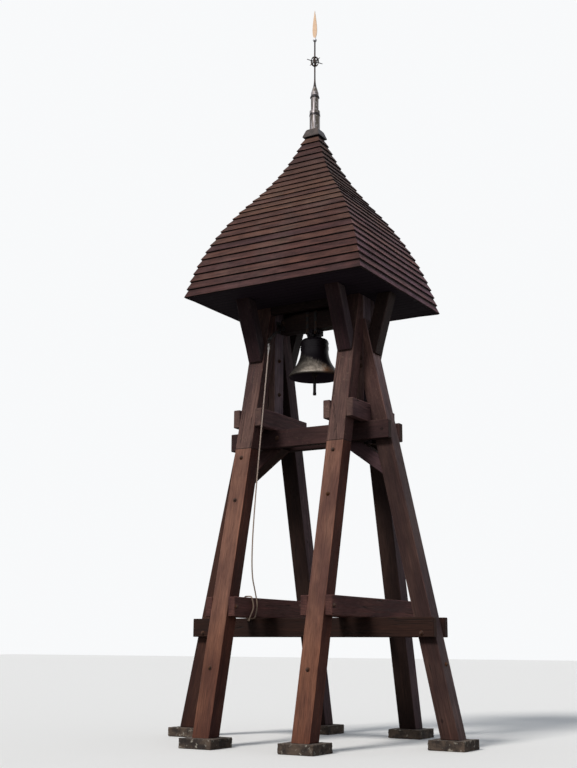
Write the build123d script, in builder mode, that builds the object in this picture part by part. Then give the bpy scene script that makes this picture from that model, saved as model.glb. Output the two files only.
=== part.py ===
from build123d import *
import os
from math import atan2, cos, degrees, pi, radians, sin, tan

# An open timber bell tower: two tripods of legs, clamped by pairs of beams, carry
# a curved boarded roof, and a bell swings between them.
# Millimetres, +Z up. X runs from tripod to tripod, Y through the depth of each tripod.
# The origin is on the ground, at the middle of the tower.

# The two tripods
tripod_x = 857.0
post_size = 300.0
post_foot_height = 4740.0
leg_width = 300.0
leg_depth = 285.0
side_leg_foot_y = 1932.0
side_leg_head_land = 126.0
outer_leg_foot_x = 2520.0
outer_leg_head_land = 32.0
outer_leg_head_drop = 410.0
arris = 9.0

# Footings under the legs
footing_size = 600.0
footing_height = 150.0
footing_bevel = 20.0

# Pairs of beams that clamp the legs at two heights
beam_depth = 300.0
beam_thickness = 120.0
lower_beam_height = 1632.0
lower_girt_half_length = 2210.0
lower_clamp_half_length = 1470.0
upper_beam_height = post_foot_height
upper_girt_half_length = 1500.0
upper_clamp_half_length = 765.0

# Knee braces between the outer legs and the feet of the posts
knee_slope = 36.0
knee_thickness = 220.0
knee_head_inset = 75.0

# Struts from the leg heads to the eaves
strut_foot_drop = 1010.0
strut_depth = 220.0
strut_width = 250.0
strut_proud = 42.0
side_strut_lean = 23.0
outer_strut_lean = 15.5

# Roof: an ogee of two arcs, on an oblong plan
eave_height = 7210.0
eave_half_x = 1676.0
eave_half_y = 1517.0
roof_bend_height = 1810.0
roof_bend_share = 0.5
roof_top_height = 3100.0
roof_top_share = 0.09
roof_bend_slope = 51.6
roof_shell = 30.0
soffit_thickness = 25.0
soffit_edge_gap = 6.0
cap_overhang = 14.0
cap_edge = 18.0
cap_rise = 156.0
cap_stations = ((52.0, 12.0), (98.0, 28.0), (134.0, 42.0))
cap_top_margin = 8.0

# Ties between the tripod heads
tie_depth = 135.0
tie_thickness = 100.0
tie_inner_y = 200.0

# Finial on the roof
stem_foot_diameter = 186.0
stem_foot_height = 289.0
collar_diameter = 196.0
collar_height = 95.0
collar_skirt = 38.0
collar_lip = 14.0
stem_diameter = 140.0
stem_height = 262.0
upper_collar_diameter = 168.0
upper_collar_height = 78.0
cone_height = 120.0
cone_top_diameter = 66.0
rod_diameter = 27.0
rod_foot_height = 120.0
rod_length = 900.0
cage_diameter = 154.0
cage_height = 200.0
cage_bottom = 410.0
cage_bar = 14.0
cage_bars = 4
spike_reach = 168.0
spike_diameter = 16.0
ball_diameter = 72.0
flame_length = 574.0
flame_width = 92.0
flame_thickness = 12.0

# Bell and its swinging gear
swing_drop = 310.0
headstock_end_gap = 87.0
headstock_axis_height = 130.0
headstock_depth = 300.0
headstock_width = 220.0
headstock_shoulder_half = 330.0
headstock_end_depth = 230.0
gudgeon_diameter = 50.0
gudgeon_end_gap = 7.0
gudgeon_plate = 180.0
gudgeon_plate_thickness = 12.0
pivot_clearance = 0.5
bearing_boss_diameter = 110.0
bearing_side_gap = 8.0
bearing_plate = 200.0
bearing_plate_thickness = 20.0
bell_height = 670.0
bell_lip_radius = 440.0
bell_lip_edge = 14.0
bell_bow_radius = 434.0
bell_bow_height = 42.0
bell_flare_radius = 322.0
bell_flare_height = 200.0
bell_waist_radius = 236.0
bell_waist_height = 480.0
bell_shoulder_height = 615.0
bell_head_radius = 168.0
bell_bow_thickness = 58.0
bell_bow_thickest = 70.0
bell_wall = 24.0
bell_band_heights = (496.0, 530.0, 600.0)
bell_band_rise = 6.0
bell_band_width = 14.0
crown_height = 170.0
crown_half_width = 140.0
crown_taper = 42.0
crown_thickness = 56.0
crown_eye_radius = 28.0
crown_eye_x = 78.0
strap_width = 50.0
strap_thickness = 10.0
strap_foot_drop = 24.0
strap_bolt_end = 14.0
strap_bolt_diameter = 24.0
seat_gap = 0.3

# Clapper
clapper_pivot_drop = 45.0
clapper_shaft_diameter = 52.0
clapper_ball_diameter = 110.0
clapper_ball_drop = 530.0
clapper_tail_drop = 900.0
clapper_knob_diameter = 58.0
clapper_knob_height = 46.0
clapper_eye_diameter = 50.0
clapper_eye_thickness = 24.0
clapper_pin_diameter = 16.0
clapper_pin_end = 5.0
clapper_neck_diameter = 20.0
clapper_neck_length = 50.0
staple_width = 32.0
staple_cheek = 12.0
staple_side_gap = 2.0

# Lever and rope
lever_inset = 60.0
lever_reach = 578.0
lever_drop = 360.0
lever_depth = 60.0
lever_thickness = 12.0
lever_plate = 180.0
lever_eye_diameter = 22.0
shackle_bar = 12.0
shackle_pin = 16.0
shackle_lug = 28.0
shackle_length = 100.0
shackle_width = 52.0
rope_diameter = 24.0
knot_diameter = 52.0
knot_height = 60.0
knot_taper = 10.0
end_knot_diameter = 46.0
end_knot_height = 48.0

os.makedirs("parts", exist_ok=True)


def keep(piece, name):
    """Names a finished piece and writes it."""
    piece.label = name
    export_step(piece, f"parts/{name}.step")


def lean_of(foot, head, head_height):
    """The lean of a leg whose outer face goes from its foot to its head, in degrees."""
    return degrees(atan2(foot - head, head_height - footing_height))


def outer_face(foot, lean, height):
    """How far out a leaning leg's outer face is at a height."""
    return foot - tan(radians(lean)) * (height - footing_height)


def leg_outline(foot, lean, seat, head_height, out):
    """A leaning leg: level foot, head cut plumb where it bears on the post."""
    depth = leg_depth / cos(radians(lean))
    inner_meets_post = footing_height + (foot - depth - seat) / tan(radians(lean))
    outline = [
        (foot, footing_height),
        (outer_face(foot, lean, head_height), head_height),
        (seat, head_height),
        (seat, inner_meets_post),
        (foot - depth, footing_height),
    ]
    return [(out * reach, height) for reach, height in outline]


def strut_outline(foot, leg_lean, strut_lean, out):
    """A strut that starts proud of a leg's outer face and leans out to the soffit."""
    face = outer_face(foot, leg_lean, strut_foot_height)
    run = tan(radians(strut_lean))
    depth = strut_depth / cos(radians(strut_lean))
    start = face + strut_proud
    top = start + run * strut_foot_drop
    inner_rise = (depth - strut_proud) / (run + tan(radians(leg_lean)))
    outline = [
        (face, strut_foot_height),
        (start, strut_foot_height),
        (top, eave_height),
        (top - depth, eave_height),
        (start + run * inner_rise - depth, strut_foot_height + inner_rise),
    ]
    return [(out * reach, height) for reach, height in outline]


post_half = post_size / 2
post_outer_x = tripod_x + post_half
clamp_offset = leg_width / 2 + beam_thickness / 2
clamp_middle = tripod_x + clamp_offset
outer_leg_head_height = eave_height - outer_leg_head_drop
strut_foot_height = eave_height - strut_foot_drop
side_leg_lean = lean_of(side_leg_foot_y, post_half + side_leg_head_land, eave_height)
outer_leg_lean = lean_of(outer_leg_foot_x, post_outer_x + outer_leg_head_land, outer_leg_head_height)
sides = (("left", -1), ("right", 1))
faces = (("front", -1), ("back", 1))

# Legs, footings and struts of both tripods
for side_name, side in sides:
    side_plane = Plane.YZ.offset(side * tripod_x)
    for face_name, face in faces:
        with BuildPart() as side_leg:
            with BuildSketch(side_plane):
                with BuildLine():
                    Polyline(
                        *leg_outline(side_leg_foot_y, side_leg_lean, post_half, eave_height, face),
                        close=True,
                    )
                make_face()
            extrude(amount=leg_width / 2, both=True)
            chamfer(side_leg.faces().filter_by(Axis.X).edges(), arris)
        keep(side_leg.part, f"leg_{face_name}_{side_name}")

        with BuildPart() as side_strut:
            with BuildSketch(side_plane):
                with BuildLine():
                    Polyline(
                        *strut_outline(side_leg_foot_y, side_leg_lean, side_strut_lean, face),
                        close=True,
                    )
                make_face()
            extrude(amount=strut_width / 2, both=True)
            chamfer(side_strut.faces().filter_by(Axis.X).edges(), arris)
        keep(side_strut.part, f"strut_{face_name}_{side_name}")

        foot_middle = side_leg_foot_y - leg_depth / cos(radians(side_leg_lean)) / 2
        with BuildPart() as side_footing:
            with BuildSketch():
                with Locations((side * tripod_x, face * foot_middle)):
                    Rectangle(footing_size, footing_size)
            extrude(amount=footing_height)
            chamfer(side_footing.faces().sort_by(Axis.Z)[-1].edges(), footing_bevel)
        keep(side_footing.part, f"footing_{face_name}_{side_name}")

    with BuildPart() as outer_leg:
        with BuildSketch(Plane.XZ):
            with BuildLine():
                Polyline(
                    *leg_outline(
                        outer_leg_foot_x, outer_leg_lean, post_outer_x, outer_leg_head_height, side
                    ),
                    close=True,
                )
            make_face()
        extrude(amount=leg_width / 2, both=True)
        chamfer(outer_leg.faces().filter_by(Axis.Y).edges(), arris)
        with Locations((side * clamp_middle, 0, upper_beam_height + beam_depth * 1.5)):
            Box(beam_thickness, leg_width, beam_depth, mode=Mode.SUBTRACT)
    keep(outer_leg.part, f"leg_outer_{side_name}")

    with BuildPart() as outer_strut:
        with BuildSketch(Plane.XZ):
            with BuildLine():
                Polyline(
                    *strut_outline(outer_leg_foot_x, outer_leg_lean, outer_strut_lean, side),
                    close=True,
                )
            make_face()
        extrude(amount=strut_width / 2, both=True)
        chamfer(outer_strut.faces().filter_by(Axis.Y).edges(), arris)
    keep(outer_strut.part, f"strut_outer_{side_name}")

    outer_foot_middle = outer_leg_foot_x - leg_depth / cos(radians(outer_leg_lean)) / 2
    with BuildPart() as outer_footing:
        with BuildSketch():
            with Locations((side * outer_foot_middle, 0)):
                Rectangle(footing_size, footing_size)
        extrude(amount=footing_height)
        chamfer(outer_footing.faces().sort_by(Axis.Z)[-1].edges(), footing_bevel)
    keep(outer_footing.part, f"footing_outer_{side_name}")

    with BuildPart() as post:
        with BuildSketch(Plane.XY.offset(post_foot_height)):
            with Locations((side * tripod_x, 0)):
                Rectangle(post_size, post_size)
        extrude(amount=eave_height - post_foot_height)
        chamfer(post.edges().filter_by(Axis.Z), arris)
    keep(post.part, f"post_{side_name}")

# Pairs of beams: girts along X clamp the outer legs, clamps along Y clamp the others
levels = (
    ("lower", lower_beam_height, lower_girt_half_length, lower_clamp_half_length),
    ("upper", upper_beam_height, upper_girt_half_length, upper_clamp_half_length),
)
for level_name, level_height, girt_half, clamp_half in levels:
    with BuildPart() as girts:
        with BuildSketch(Plane.XY.offset(level_height)):
            with Locations((0, -clamp_offset), (0, clamp_offset)):
                Rectangle(2 * girt_half, beam_thickness)
        extrude(amount=beam_depth)
        chamfer(girts.edges(), arris)
    keep(girts.part, f"{level_name}_girts")

    for side_name, side in sides:
        with BuildPart() as clamps:
            with BuildSketch(Plane.XY.offset(level_height + beam_depth)):
                with Locations(
                    (side * tripod_x - clamp_offset, 0),
                    (side * tripod_x + clamp_offset, 0),
                ):
                    Rectangle(beam_thickness, 2 * clamp_half)
            extrude(amount=beam_depth)
            chamfer(clamps.edges(), arris)
        keep(clamps.part, f"{level_name}_clamps_{side_name}")

# Knee braces: from the outer leg's inner face to the underside of the post's foot
knee_rise = tan(radians(knee_slope))
knee_depth = knee_thickness / cos(radians(knee_slope))
outer_leg_inner_foot = outer_leg_foot_x - leg_depth / cos(radians(outer_leg_lean))
leg_run = tan(radians(outer_leg_lean))
knee_outer_x = post_outer_x - knee_head_inset
knee_inner_x = knee_outer_x - knee_depth / knee_rise


def knee_foot(head_x):
    """Where a knee brace's edge, down from its head, meets the leg's inner face."""
    gap = outer_face(outer_leg_inner_foot, outer_leg_lean, post_foot_height) - head_x
    run = gap / (1 - leg_run * knee_rise)
    return head_x + run, post_foot_height - run * knee_rise


for side_name, side in sides:
    with BuildPart() as knee_brace:
        with BuildSketch(Plane.XZ):
            with BuildLine():
                knee_outline = [
                    (knee_inner_x, post_foot_height),
                    (knee_outer_x, post_foot_height),
                    knee_foot(knee_outer_x),
                    knee_foot(knee_inner_x),
                ]
                Polyline(*[(side * reach, height) for reach, height in knee_outline], close=True)
            make_face()
        extrude(amount=leg_width / 2, both=True)
        chamfer(knee_brace.faces().filter_by(Axis.Y).edges(), arris)
    keep(knee_brace.part, f"knee_brace_{side_name}")

# Ties between the heads of the tripods
for face_name, face in faces:
    with BuildPart() as head_tie:
        with BuildSketch(Plane.XY.offset(eave_height - tie_depth)):
            with Locations((0, face * (tie_inner_y + tie_thickness / 2))):
                Rectangle(2 * (tripod_x - leg_width / 2), tie_thickness)
        extrude(amount=tie_depth)
        chamfer(head_tie.edges().filter_by(Axis.X), arris)
    keep(head_tie.part, f"head_tie_{face_name}")


def roof_section(half, direction):
    """The ogee boarding of one roof side, as a thin closed outline."""
    eave = (direction * half, eave_height)
    bend = (direction * half * roof_bend_share, eave_height + roof_bend_height)
    top = (direction * half * roof_top_share, eave_height + roof_top_height)
    shift = -direction * roof_shell
    bend_run = cos(radians(roof_bend_slope)) * half / eave_half_x
    bend_tangent = (-direction * bend_run, sin(radians(roof_bend_slope)))
    back_tangent = (-bend_tangent[0], -bend_tangent[1])
    for inward in (0.0, shift):
        TangentArc((bend[0] + inward, bend[1]), (eave[0] + inward, eave[1]), tangent=back_tangent)
        TangentArc((bend[0] + inward, bend[1]), (top[0] + inward, top[1]), tangent=bend_tangent)
    Line(eave, (eave[0] + shift, eave[1]))
    Line(top, (top[0] + shift, top[1]))


# Roof sides, mitred on the vertical planes of the hips
roof_sides = (
    ("front", Plane.YZ, eave_half_y, -1, (-1, -1), (1, -1)),
    ("back", Plane.YZ, eave_half_y, 1, (-1, 1), (1, 1)),
    ("left", Plane.XZ, eave_half_x, -1, (-1, -1), (-1, 1)),
    ("right", Plane.XZ, eave_half_x, 1, (1, -1), (1, 1)),
)
for roof_name, section_plane, half, direction, hip_a, hip_b in roof_sides:
    with BuildPart() as roof_side:
        with BuildSketch(section_plane):
            with BuildLine():
                roof_section(half, direction)
            make_face()
        extrude(amount=2 * eave_half_x, both=True)
        with BuildSketch(Plane.XY.offset(eave_height - 1)):
            with BuildLine():
                Polyline(
                    (0, 0),
                    (2 * hip_a[0] * eave_half_x, 2 * hip_a[1] * eave_half_y),
                    (2 * hip_b[0] * eave_half_x, 2 * hip_b[1] * eave_half_y),
                    close=True,
                )
            make_face()
        extrude(amount=roof_top_height + 2, mode=Mode.INTERSECT)
    keep(roof_side.part, f"roof_{roof_name}")

# Boarded soffit inside the foot of the roof
with BuildPart() as soffit:
    with BuildSketch(Plane.XY.offset(eave_height)):
        soffit_inset = roof_shell + soffit_edge_gap
        Rectangle(2 * (eave_half_x - soffit_inset), 2 * (eave_half_y - soffit_inset))
    extrude(amount=soffit_thickness)
keep(soffit.part, "soffit")

# Cap over the top course: an upright edge and a rounded top
cap_height = eave_height + roof_top_height
cap_half_x = eave_half_x * roof_top_share + cap_overhang
cap_half_y = eave_half_y * roof_top_share + cap_overhang
cap_top_half = stem_foot_diameter / 2 + cap_top_margin
with BuildPart() as roof_cap:
    with BuildSketch(Plane.XY.offset(cap_height)):
        Rectangle(2 * cap_half_x, 2 * cap_half_y)
    extrude(amount=cap_edge)
    with BuildSketch(Plane.XY.offset(cap_height + cap_edge)):
        Rectangle(2 * cap_half_x, 2 * cap_half_y)
    for station_rise, station_inset in cap_stations:
        with BuildSketch(Plane.XY.offset(cap_height + station_rise)):
            Rectangle(2 * (cap_half_x - station_inset), 2 * (cap_half_y - station_inset))
    with BuildSketch(Plane.XY.offset(cap_height + cap_rise)):
        Rectangle(2 * cap_top_half, 2 * cap_top_half)
    loft(ruled=True)
keep(roof_cap.part, "roof_cap")

# Finial: a metal-clad stem with two collars and a cone
stem_base = cap_height + cap_rise
with BuildPart() as finial_stem:
    with BuildSketch(Plane.XZ):
        with BuildLine():
            collar_base = stem_base + stem_foot_height
            stem_start = collar_base + collar_height
            upper_collar_base = stem_start + stem_height
            cone_base = upper_collar_base + upper_collar_height
            cone_top = cone_base + cone_height
            Polyline(
                (0, stem_base),
                (stem_foot_diameter / 2, stem_base),
                (stem_foot_diameter / 2, collar_base),
                (collar_diameter / 2, collar_base - collar_lip),
                (collar_diameter / 2, collar_base),
                (stem_foot_diameter / 2, collar_base + collar_skirt),
                (stem_foot_diameter / 2, stem_start - collar_lip),
                (stem_diameter / 2, stem_start),
                (stem_diameter / 2, upper_collar_base),
                (upper_collar_diameter / 2, upper_collar_base - collar_lip),
                (upper_collar_diameter / 2, upper_collar_base),
                (stem_diameter / 2, upper_collar_base + collar_skirt),
                (stem_diameter / 2, cone_base),
                (cone_top_diameter / 2, cone_top),
                (0, cone_top),
                close=True,
            )
        make_face()
    revolve(axis=Axis.Z)
keep(finial_stem.part, "finial_stem")

# Ironwork: a rod with a flared foot, an open cage of bent bars and four spikes
cage_middle = cone_top + cage_bottom + cage_height / 2
rod_top = cone_top + rod_length
with BuildPart() as finial_iron:
    with BuildSketch(Plane.XZ):
        with BuildLine():
            Polyline(
                (0, cone_top),
                (cone_top_diameter / 2 - 2, cone_top),
                (rod_diameter / 2, cone_top + rod_foot_height),
                (rod_diameter / 2, rod_top),
                (0, rod_top),
                close=True,
            )
        make_face()
    revolve(axis=Axis.Z)
    for turn in range(cage_bars):
        with BuildSketch(Plane.XZ.rotated((0, 0, turn * 180 / cage_bars))):
            with Locations((0, cage_middle)):
                Ellipse(cage_diameter / 2, cage_height / 2)
                Ellipse(cage_diameter / 2 - cage_bar, cage_height / 2 - cage_bar, mode=Mode.SUBTRACT)
        extrude(amount=cage_bar / 2, both=True)
    for spike_plane in (Plane.YZ, Plane.XZ):
        with BuildSketch(spike_plane):
            with Locations((0, cage_middle)):
                Circle(spike_diameter / 2)
        extrude(amount=spike_reach, both=True)
keep(finial_iron.part, "finial_iron")

# Gilded ball and flame
with BuildPart() as finial_flame:
    with BuildSketch(Plane.XZ):
        with BuildLine():
            flame_base = rod_top + ball_diameter * 0.8
            flame_tip = flame_base + flame_length
            for edge in (-1, 1):
                Bezier(
                    (0, flame_base),
                    (edge * flame_width * 0.9, flame_base + flame_length * 0.18),
                    (edge * flame_width * 0.35, flame_base + flame_length * 0.6),
                    (0, flame_tip),
                )
        make_face()
    extrude(amount=flame_thickness / 2, both=True)
    with Locations((0, 0, rod_top + ball_diameter / 2)):
        Sphere(ball_diameter / 2)
keep(finial_flame.part, "finial_flame")

# Headstock: a timber beam with sloped shoulders
swing_height = eave_height - swing_drop
bearing_face = tripod_x - post_half
headstock_half_length = bearing_face - headstock_end_gap
headstock_underside = swing_height - headstock_axis_height
headstock_top = headstock_underside + headstock_depth
with BuildPart() as headstock:
    with BuildSketch(Plane.XZ):
        with BuildLine():
            Polyline(
                (-headstock_half_length, headstock_underside),
                (headstock_half_length, headstock_underside),
                (headstock_half_length, headstock_underside + headstock_end_depth),
                (headstock_shoulder_half, headstock_top),
                (-headstock_shoulder_half, headstock_top),
                (-headstock_half_length, headstock_underside + headstock_end_depth),
                close=True,
            )
        make_face()
    extrude(amount=headstock_width / 2, both=True)
    chamfer(headstock.faces().filter_by(Axis.Y).edges(), arris)
keep(headstock.part, "headstock")

# Gudgeons: a plate on each end of the headstock, with the pin that it turns on
gudgeon_plate_face = headstock_half_length + gudgeon_plate_thickness
gudgeon_length = bearing_face - gudgeon_end_gap - gudgeon_plate_face
with BuildPart() as gudgeons:
    for _, side in sides:
        with BuildSketch(Plane.YZ.offset(side * headstock_half_length)):
            with Locations((0, swing_height)):
                Rectangle(gudgeon_plate, gudgeon_plate)
        extrude(amount=side * gudgeon_plate_thickness)
        with BuildSketch(Plane.YZ.offset(side * gudgeon_plate_face)):
            with Locations((0, swing_height)):
                Circle(gudgeon_diameter / 2)
        extrude(amount=side * gudgeon_length)
keep(gudgeons.part, "gudgeons")

# Bearings on the inner faces of the posts
bearing_plate_face = bearing_face - bearing_plate_thickness
bearing_boss_length = bearing_plate_face - bearing_side_gap - gudgeon_plate_face
for side_name, side in sides:
    with BuildPart() as bearing:
        with BuildSketch(Plane.YZ.offset(side * bearing_face)):
            with Locations((0, swing_height)):
                Rectangle(bearing_plate, bearing_plate)
        extrude(amount=-side * bearing_plate_thickness)
        with BuildSketch(Plane.YZ.offset(side * bearing_plate_face)):
            with Locations((0, swing_height)):
                Circle(bearing_boss_diameter / 2)
        extrude(amount=-side * bearing_boss_length)
        with BuildSketch(Plane.YZ.offset(side * bearing_face)):
            with Locations((0, swing_height)):
                Circle(gudgeon_diameter / 2 + pivot_clearance)
        extrude(
            amount=-side * (bearing_plate_thickness + bearing_boss_length),
            mode=Mode.SUBTRACT,
        )
    keep(bearing.part, f"bearing_{side_name}")

# Bell: a flared shell with a thick sound bow and raised bands, closed at the head
bell_head_top = headstock_underside - crown_height
bell_lip = bell_head_top - bell_height
bell_head_underside = bell_head_top - bell_wall
waist_drop = bell_waist_height - bell_flare_height
bell_flare_turn = 2 * atan2(bell_flare_radius - bell_waist_radius, waist_drop)
with BuildPart() as bell:
    with BuildSketch(Plane.XZ):
        with BuildLine():
            bow_out = (bell_bow_radius, bell_lip + bell_bow_height)
            flare_out = (bell_flare_radius, bell_lip + bell_flare_height)
            flare_slope = (sin(bell_flare_turn), -cos(bell_flare_turn))
            waist_out = (bell_waist_radius, bell_lip + bell_waist_height)
            shoulder_out = (bell_waist_radius, bell_lip + bell_shoulder_height)
            head_out = (bell_head_radius, bell_head_top)
            bow_in = (bell_bow_radius - bell_bow_thickness, bell_lip + bell_bow_thickest)
            flare_in = (bell_flare_radius - 1.4 * bell_wall, bell_lip + bell_flare_height)
            waist_in = (bell_waist_radius - bell_wall, bell_lip + bell_waist_height)
            shoulder_in = (bell_waist_radius - bell_wall, bell_lip + bell_shoulder_height - bell_wall)
            head_in = (bell_head_radius, bell_head_underside)
            Polyline(
                bow_in,
                (bell_lip_radius - bell_lip_edge, bell_lip),
                (bell_lip_radius, bell_lip + bell_lip_edge),
                bow_out,
            )
            TangentArc(flare_out, bow_out, tangent=flare_slope)
            TangentArc(waist_out, flare_out, tangent=(0, -1))
            Line(waist_out, shoulder_out)
            TangentArc(shoulder_out, head_out, tangent=(0, 1))
            Polyline(head_out, (0, bell_head_top), (0, bell_head_underside), head_in)
            TangentArc(shoulder_in, head_in, tangent=(0, 1))
            Line(shoulder_in, waist_in)
            TangentArc(waist_in, flare_in, tangent=(0, -1))
            TangentArc(flare_in, bow_in, tangent=flare_slope)
        make_face()
        for band_height in bell_band_heights:
            with Locations((bell_waist_radius, bell_lip + band_height)):
                Rectangle(2 * bell_band_rise, bell_band_width)
    revolve(axis=Axis.Z)
    for crown_plane in (Plane.XZ, Plane.YZ):
        with BuildSketch(crown_plane):
            with BuildLine():
                Polyline(
                    (-crown_half_width + crown_taper, bell_head_top - bell_wall / 2),
                    (-crown_half_width, bell_head_top + crown_height / 2),
                    (-crown_half_width + crown_taper / 2, headstock_underside),
                    (crown_half_width - crown_taper / 2, headstock_underside),
                    (crown_half_width, bell_head_top + crown_height / 2),
                    (crown_half_width - crown_taper, bell_head_top - bell_wall / 2),
                    close=True,
                )
            make_face()
            with Locations(
                (-crown_eye_x, bell_head_top + crown_height / 2),
                (crown_eye_x, bell_head_top + crown_height / 2),
            ):
                Circle(crown_eye_radius, mode=Mode.SUBTRACT)
        extrude(amount=crown_thickness / 2, both=True)
keep(bell.part, "bell")

# Straps that hold the crown up to the headstock, with a bolt through each eye
strap_bolt_seat = crown_eye_radius - strap_bolt_diameter / 2 - seat_gap
strap_bolt_height = bell_head_top + crown_height / 2 + strap_bolt_seat
strap_foot = strap_bolt_height - strap_foot_drop
strap_inner = headstock_width / 2
strap_outer = strap_inner + strap_thickness
with BuildPart() as bell_straps:
    for side_name, side in sides:
        with BuildSketch(Plane.YZ.offset(side * crown_eye_x)):
            with BuildLine():
                Polyline(
                    (-strap_outer, strap_foot),
                    (-strap_inner, strap_foot),
                    (-strap_inner, headstock_top),
                    (strap_inner, headstock_top),
                    (strap_inner, strap_foot),
                    (strap_outer, strap_foot),
                    (strap_outer, headstock_top + strap_thickness),
                    (-strap_outer, headstock_top + strap_thickness),
                    close=True,
                )
            make_face()
        extrude(amount=strap_width / 2, both=True)
        with BuildSketch(Plane.XZ):
            with Locations((side * crown_eye_x, strap_bolt_height)):
                Circle(strap_bolt_diameter / 2)
        extrude(amount=strap_outer + strap_bolt_end, both=True)
keep(bell_straps.part, "bell_straps")

# Staple inside the bell's head, with the pin that the clapper hangs on
clapper_pivot = bell_head_underside - clapper_pivot_drop
staple_inner = clapper_eye_thickness / 2 + staple_side_gap
with BuildPart() as clapper_staple:
    with BuildSketch(Plane.XY.offset(bell_head_underside)):
        with Locations(
            (-staple_inner - staple_cheek / 2, 0),
            (staple_inner + staple_cheek / 2, 0),
        ):
            Rectangle(staple_cheek, staple_width)
    extrude(amount=-clapper_pivot_drop - staple_width / 2)
    with BuildSketch(Plane.YZ):
        with Locations((0, clapper_pivot)):
            Circle(clapper_pin_diameter / 2)
    extrude(amount=staple_inner + staple_cheek + clapper_pin_end, both=True)
keep(clapper_staple.part, "clapper_staple")

# Clapper: eye, shaft, ball, and a long tail that ends in a knob below the lip
ball_height = clapper_pivot - clapper_ball_drop
neck_top = clapper_pivot - 0.4 * clapper_eye_diameter
tail_end = clapper_pivot - clapper_tail_drop
shaft_radius = clapper_shaft_diameter / 2
knob_radius = clapper_knob_diameter / 2
knob_edge = (clapper_knob_diameter - clapper_shaft_diameter) / 2
with BuildPart() as clapper:
    with BuildSketch(Plane.XZ):
        with BuildLine():
            Polyline(
                (0, neck_top),
                (clapper_neck_diameter / 2, neck_top),
                (shaft_radius, neck_top - clapper_neck_length),
                (shaft_radius, tail_end + clapper_knob_height + knob_edge),
                (knob_radius, tail_end + clapper_knob_height),
                (knob_radius, tail_end + knob_edge),
                (shaft_radius, tail_end),
                (0, tail_end),
                close=True,
            )
        make_face()
    revolve(axis=Axis.Z)
    with Locations((0, 0, ball_height)):
        Sphere(clapper_ball_diameter / 2)
    with BuildSketch(Plane.YZ):
        with Locations((0, clapper_pivot)):
            Circle(clapper_eye_diameter / 2)
    extrude(amount=clapper_eye_thickness / 2, both=True)
    with BuildSketch(Plane.YZ):
        with Locations((0, clapper_pivot)):
            Circle(clapper_pin_diameter / 2 + pivot_clearance)
    extrude(amount=clapper_shaft_diameter, both=True, mode=Mode.SUBTRACT)
keep(clapper.part, "clapper")

# Lever: an iron arm bolted to the front of the headstock, with an eye for the shackle
headstock_front = -headstock_width / 2
lever_x = lever_inset - headstock_half_length
lever_end_y = -lever_reach
lever_end_height = swing_height - lever_drop
lever_start = Vector(headstock_front - lever_thickness / 2, swing_height)
lever_end = Vector(lever_end_y, lever_end_height)
lever_run = (lever_end - lever_start).normalized()
lever_side = Vector(-lever_run.Y, lever_run.X) * (lever_depth / 2)
lever_root = Vector(0, lever_depth / 2 / lever_run.X)
with BuildPart() as rope_lever:
    with BuildSketch(Plane.XZ.offset(-headstock_front)):
        with Locations((lever_x, swing_height)):
            Rectangle(lever_depth, lever_plate)
    extrude(amount=lever_thickness)
    with BuildSketch(Plane.YZ.offset(lever_x)):
        with BuildLine():
            Polyline(
                lever_start + lever_root,
                lever_end + lever_side,
                lever_end - lever_side,
                lever_start - lever_root,
                close=True,
            )
        make_face()
        with Locations(lever_end):
            Circle(lever_depth / 2)
            Circle(lever_eye_diameter / 2, mode=Mode.SUBTRACT)
    extrude(amount=lever_thickness / 2, both=True)
keep(rope_lever.part, "rope_lever")

# Shackle: a bow of round bar on a pin through the lever's eye
shackle_leg = shackle_width / 2 - shackle_bar / 2
shackle_bend = lever_end_height - shackle_length + shackle_width / 2
pin_seat = lever_end_height - lever_eye_diameter / 2 + shackle_pin / 2 + seat_gap
with BuildPart() as lever_shackle:
    with BuildLine(Plane.XZ.offset(-lever_end_y)) as bow:
        Line((lever_x - shackle_leg, pin_seat), (lever_x - shackle_leg, shackle_bend))
        ThreePointArc(
            (lever_x - shackle_leg, shackle_bend),
            (lever_x, shackle_bend - shackle_leg),
            (lever_x + shackle_leg, shackle_bend),
        )
        Line((lever_x + shackle_leg, shackle_bend), (lever_x + shackle_leg, pin_seat))
    with BuildSketch(Plane.XY.offset(pin_seat)):
        with Locations((lever_x - shackle_leg, lever_end_y)):
            Circle(shackle_bar / 2)
    sweep(path=bow.line)
    for _, side in sides:
        with BuildSketch(Plane.YZ.offset(lever_x + side * (shackle_leg - shackle_bar / 2))):
            with Locations((lever_end_y, pin_seat)):
                Circle(shackle_lug / 2)
        extrude(amount=side * (shackle_bar + 1))
    with BuildSketch(Plane.YZ.offset(lever_x)):
        with Locations((lever_end_y, pin_seat)):
            Circle(shackle_pin / 2)
    extrude(amount=shackle_width / 2 + 8, both=True)
keep(lever_shackle.part, "lever_shackle")

# Rope: its loop hangs in the shackle, with a knot below it
knot_loop_radius = shackle_bar / 2 + rope_diameter / 2 + 1
bow_bar_height = shackle_bend - shackle_leg
knot_top = bow_bar_height - knot_loop_radius - rope_diameter * 0.3
knot_anchor = Vector(lever_x, lever_end_y, knot_top)

# The rope comes down taut and goes twice round the lower inner clamp of the left
# tripod. Both turns bow a little, and a short tail with a knot hangs below.
rope_route = [
    Vector(-560, -982, 3640),
    Vector(-584, -1012, 2640),
    Vector(-566, -895, 2290),
    Vector(-562, -840, 2110),
    Vector(-565, -905, 1932),
    Vector(-587, -909, 1910),
    Vector(-707, -927, 1910),
    Vector(-729, -931, 1932),
    Vector(-729, -976, 2232),
    Vector(-707, -980, 2254),
    Vector(-587, -1000, 2254),
    Vector(-565, -1005, 2232),
    Vector(-562, -945, 2080),
    Vector(-563, -1040, 1955),
    Vector(-561, -1085, 1900),
]
rope_run = (rope_route[0] - knot_anchor).normalized()
rope_start = knot_anchor + rope_run * knot_height
rope_points = [rope_start, *rope_route]


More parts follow.
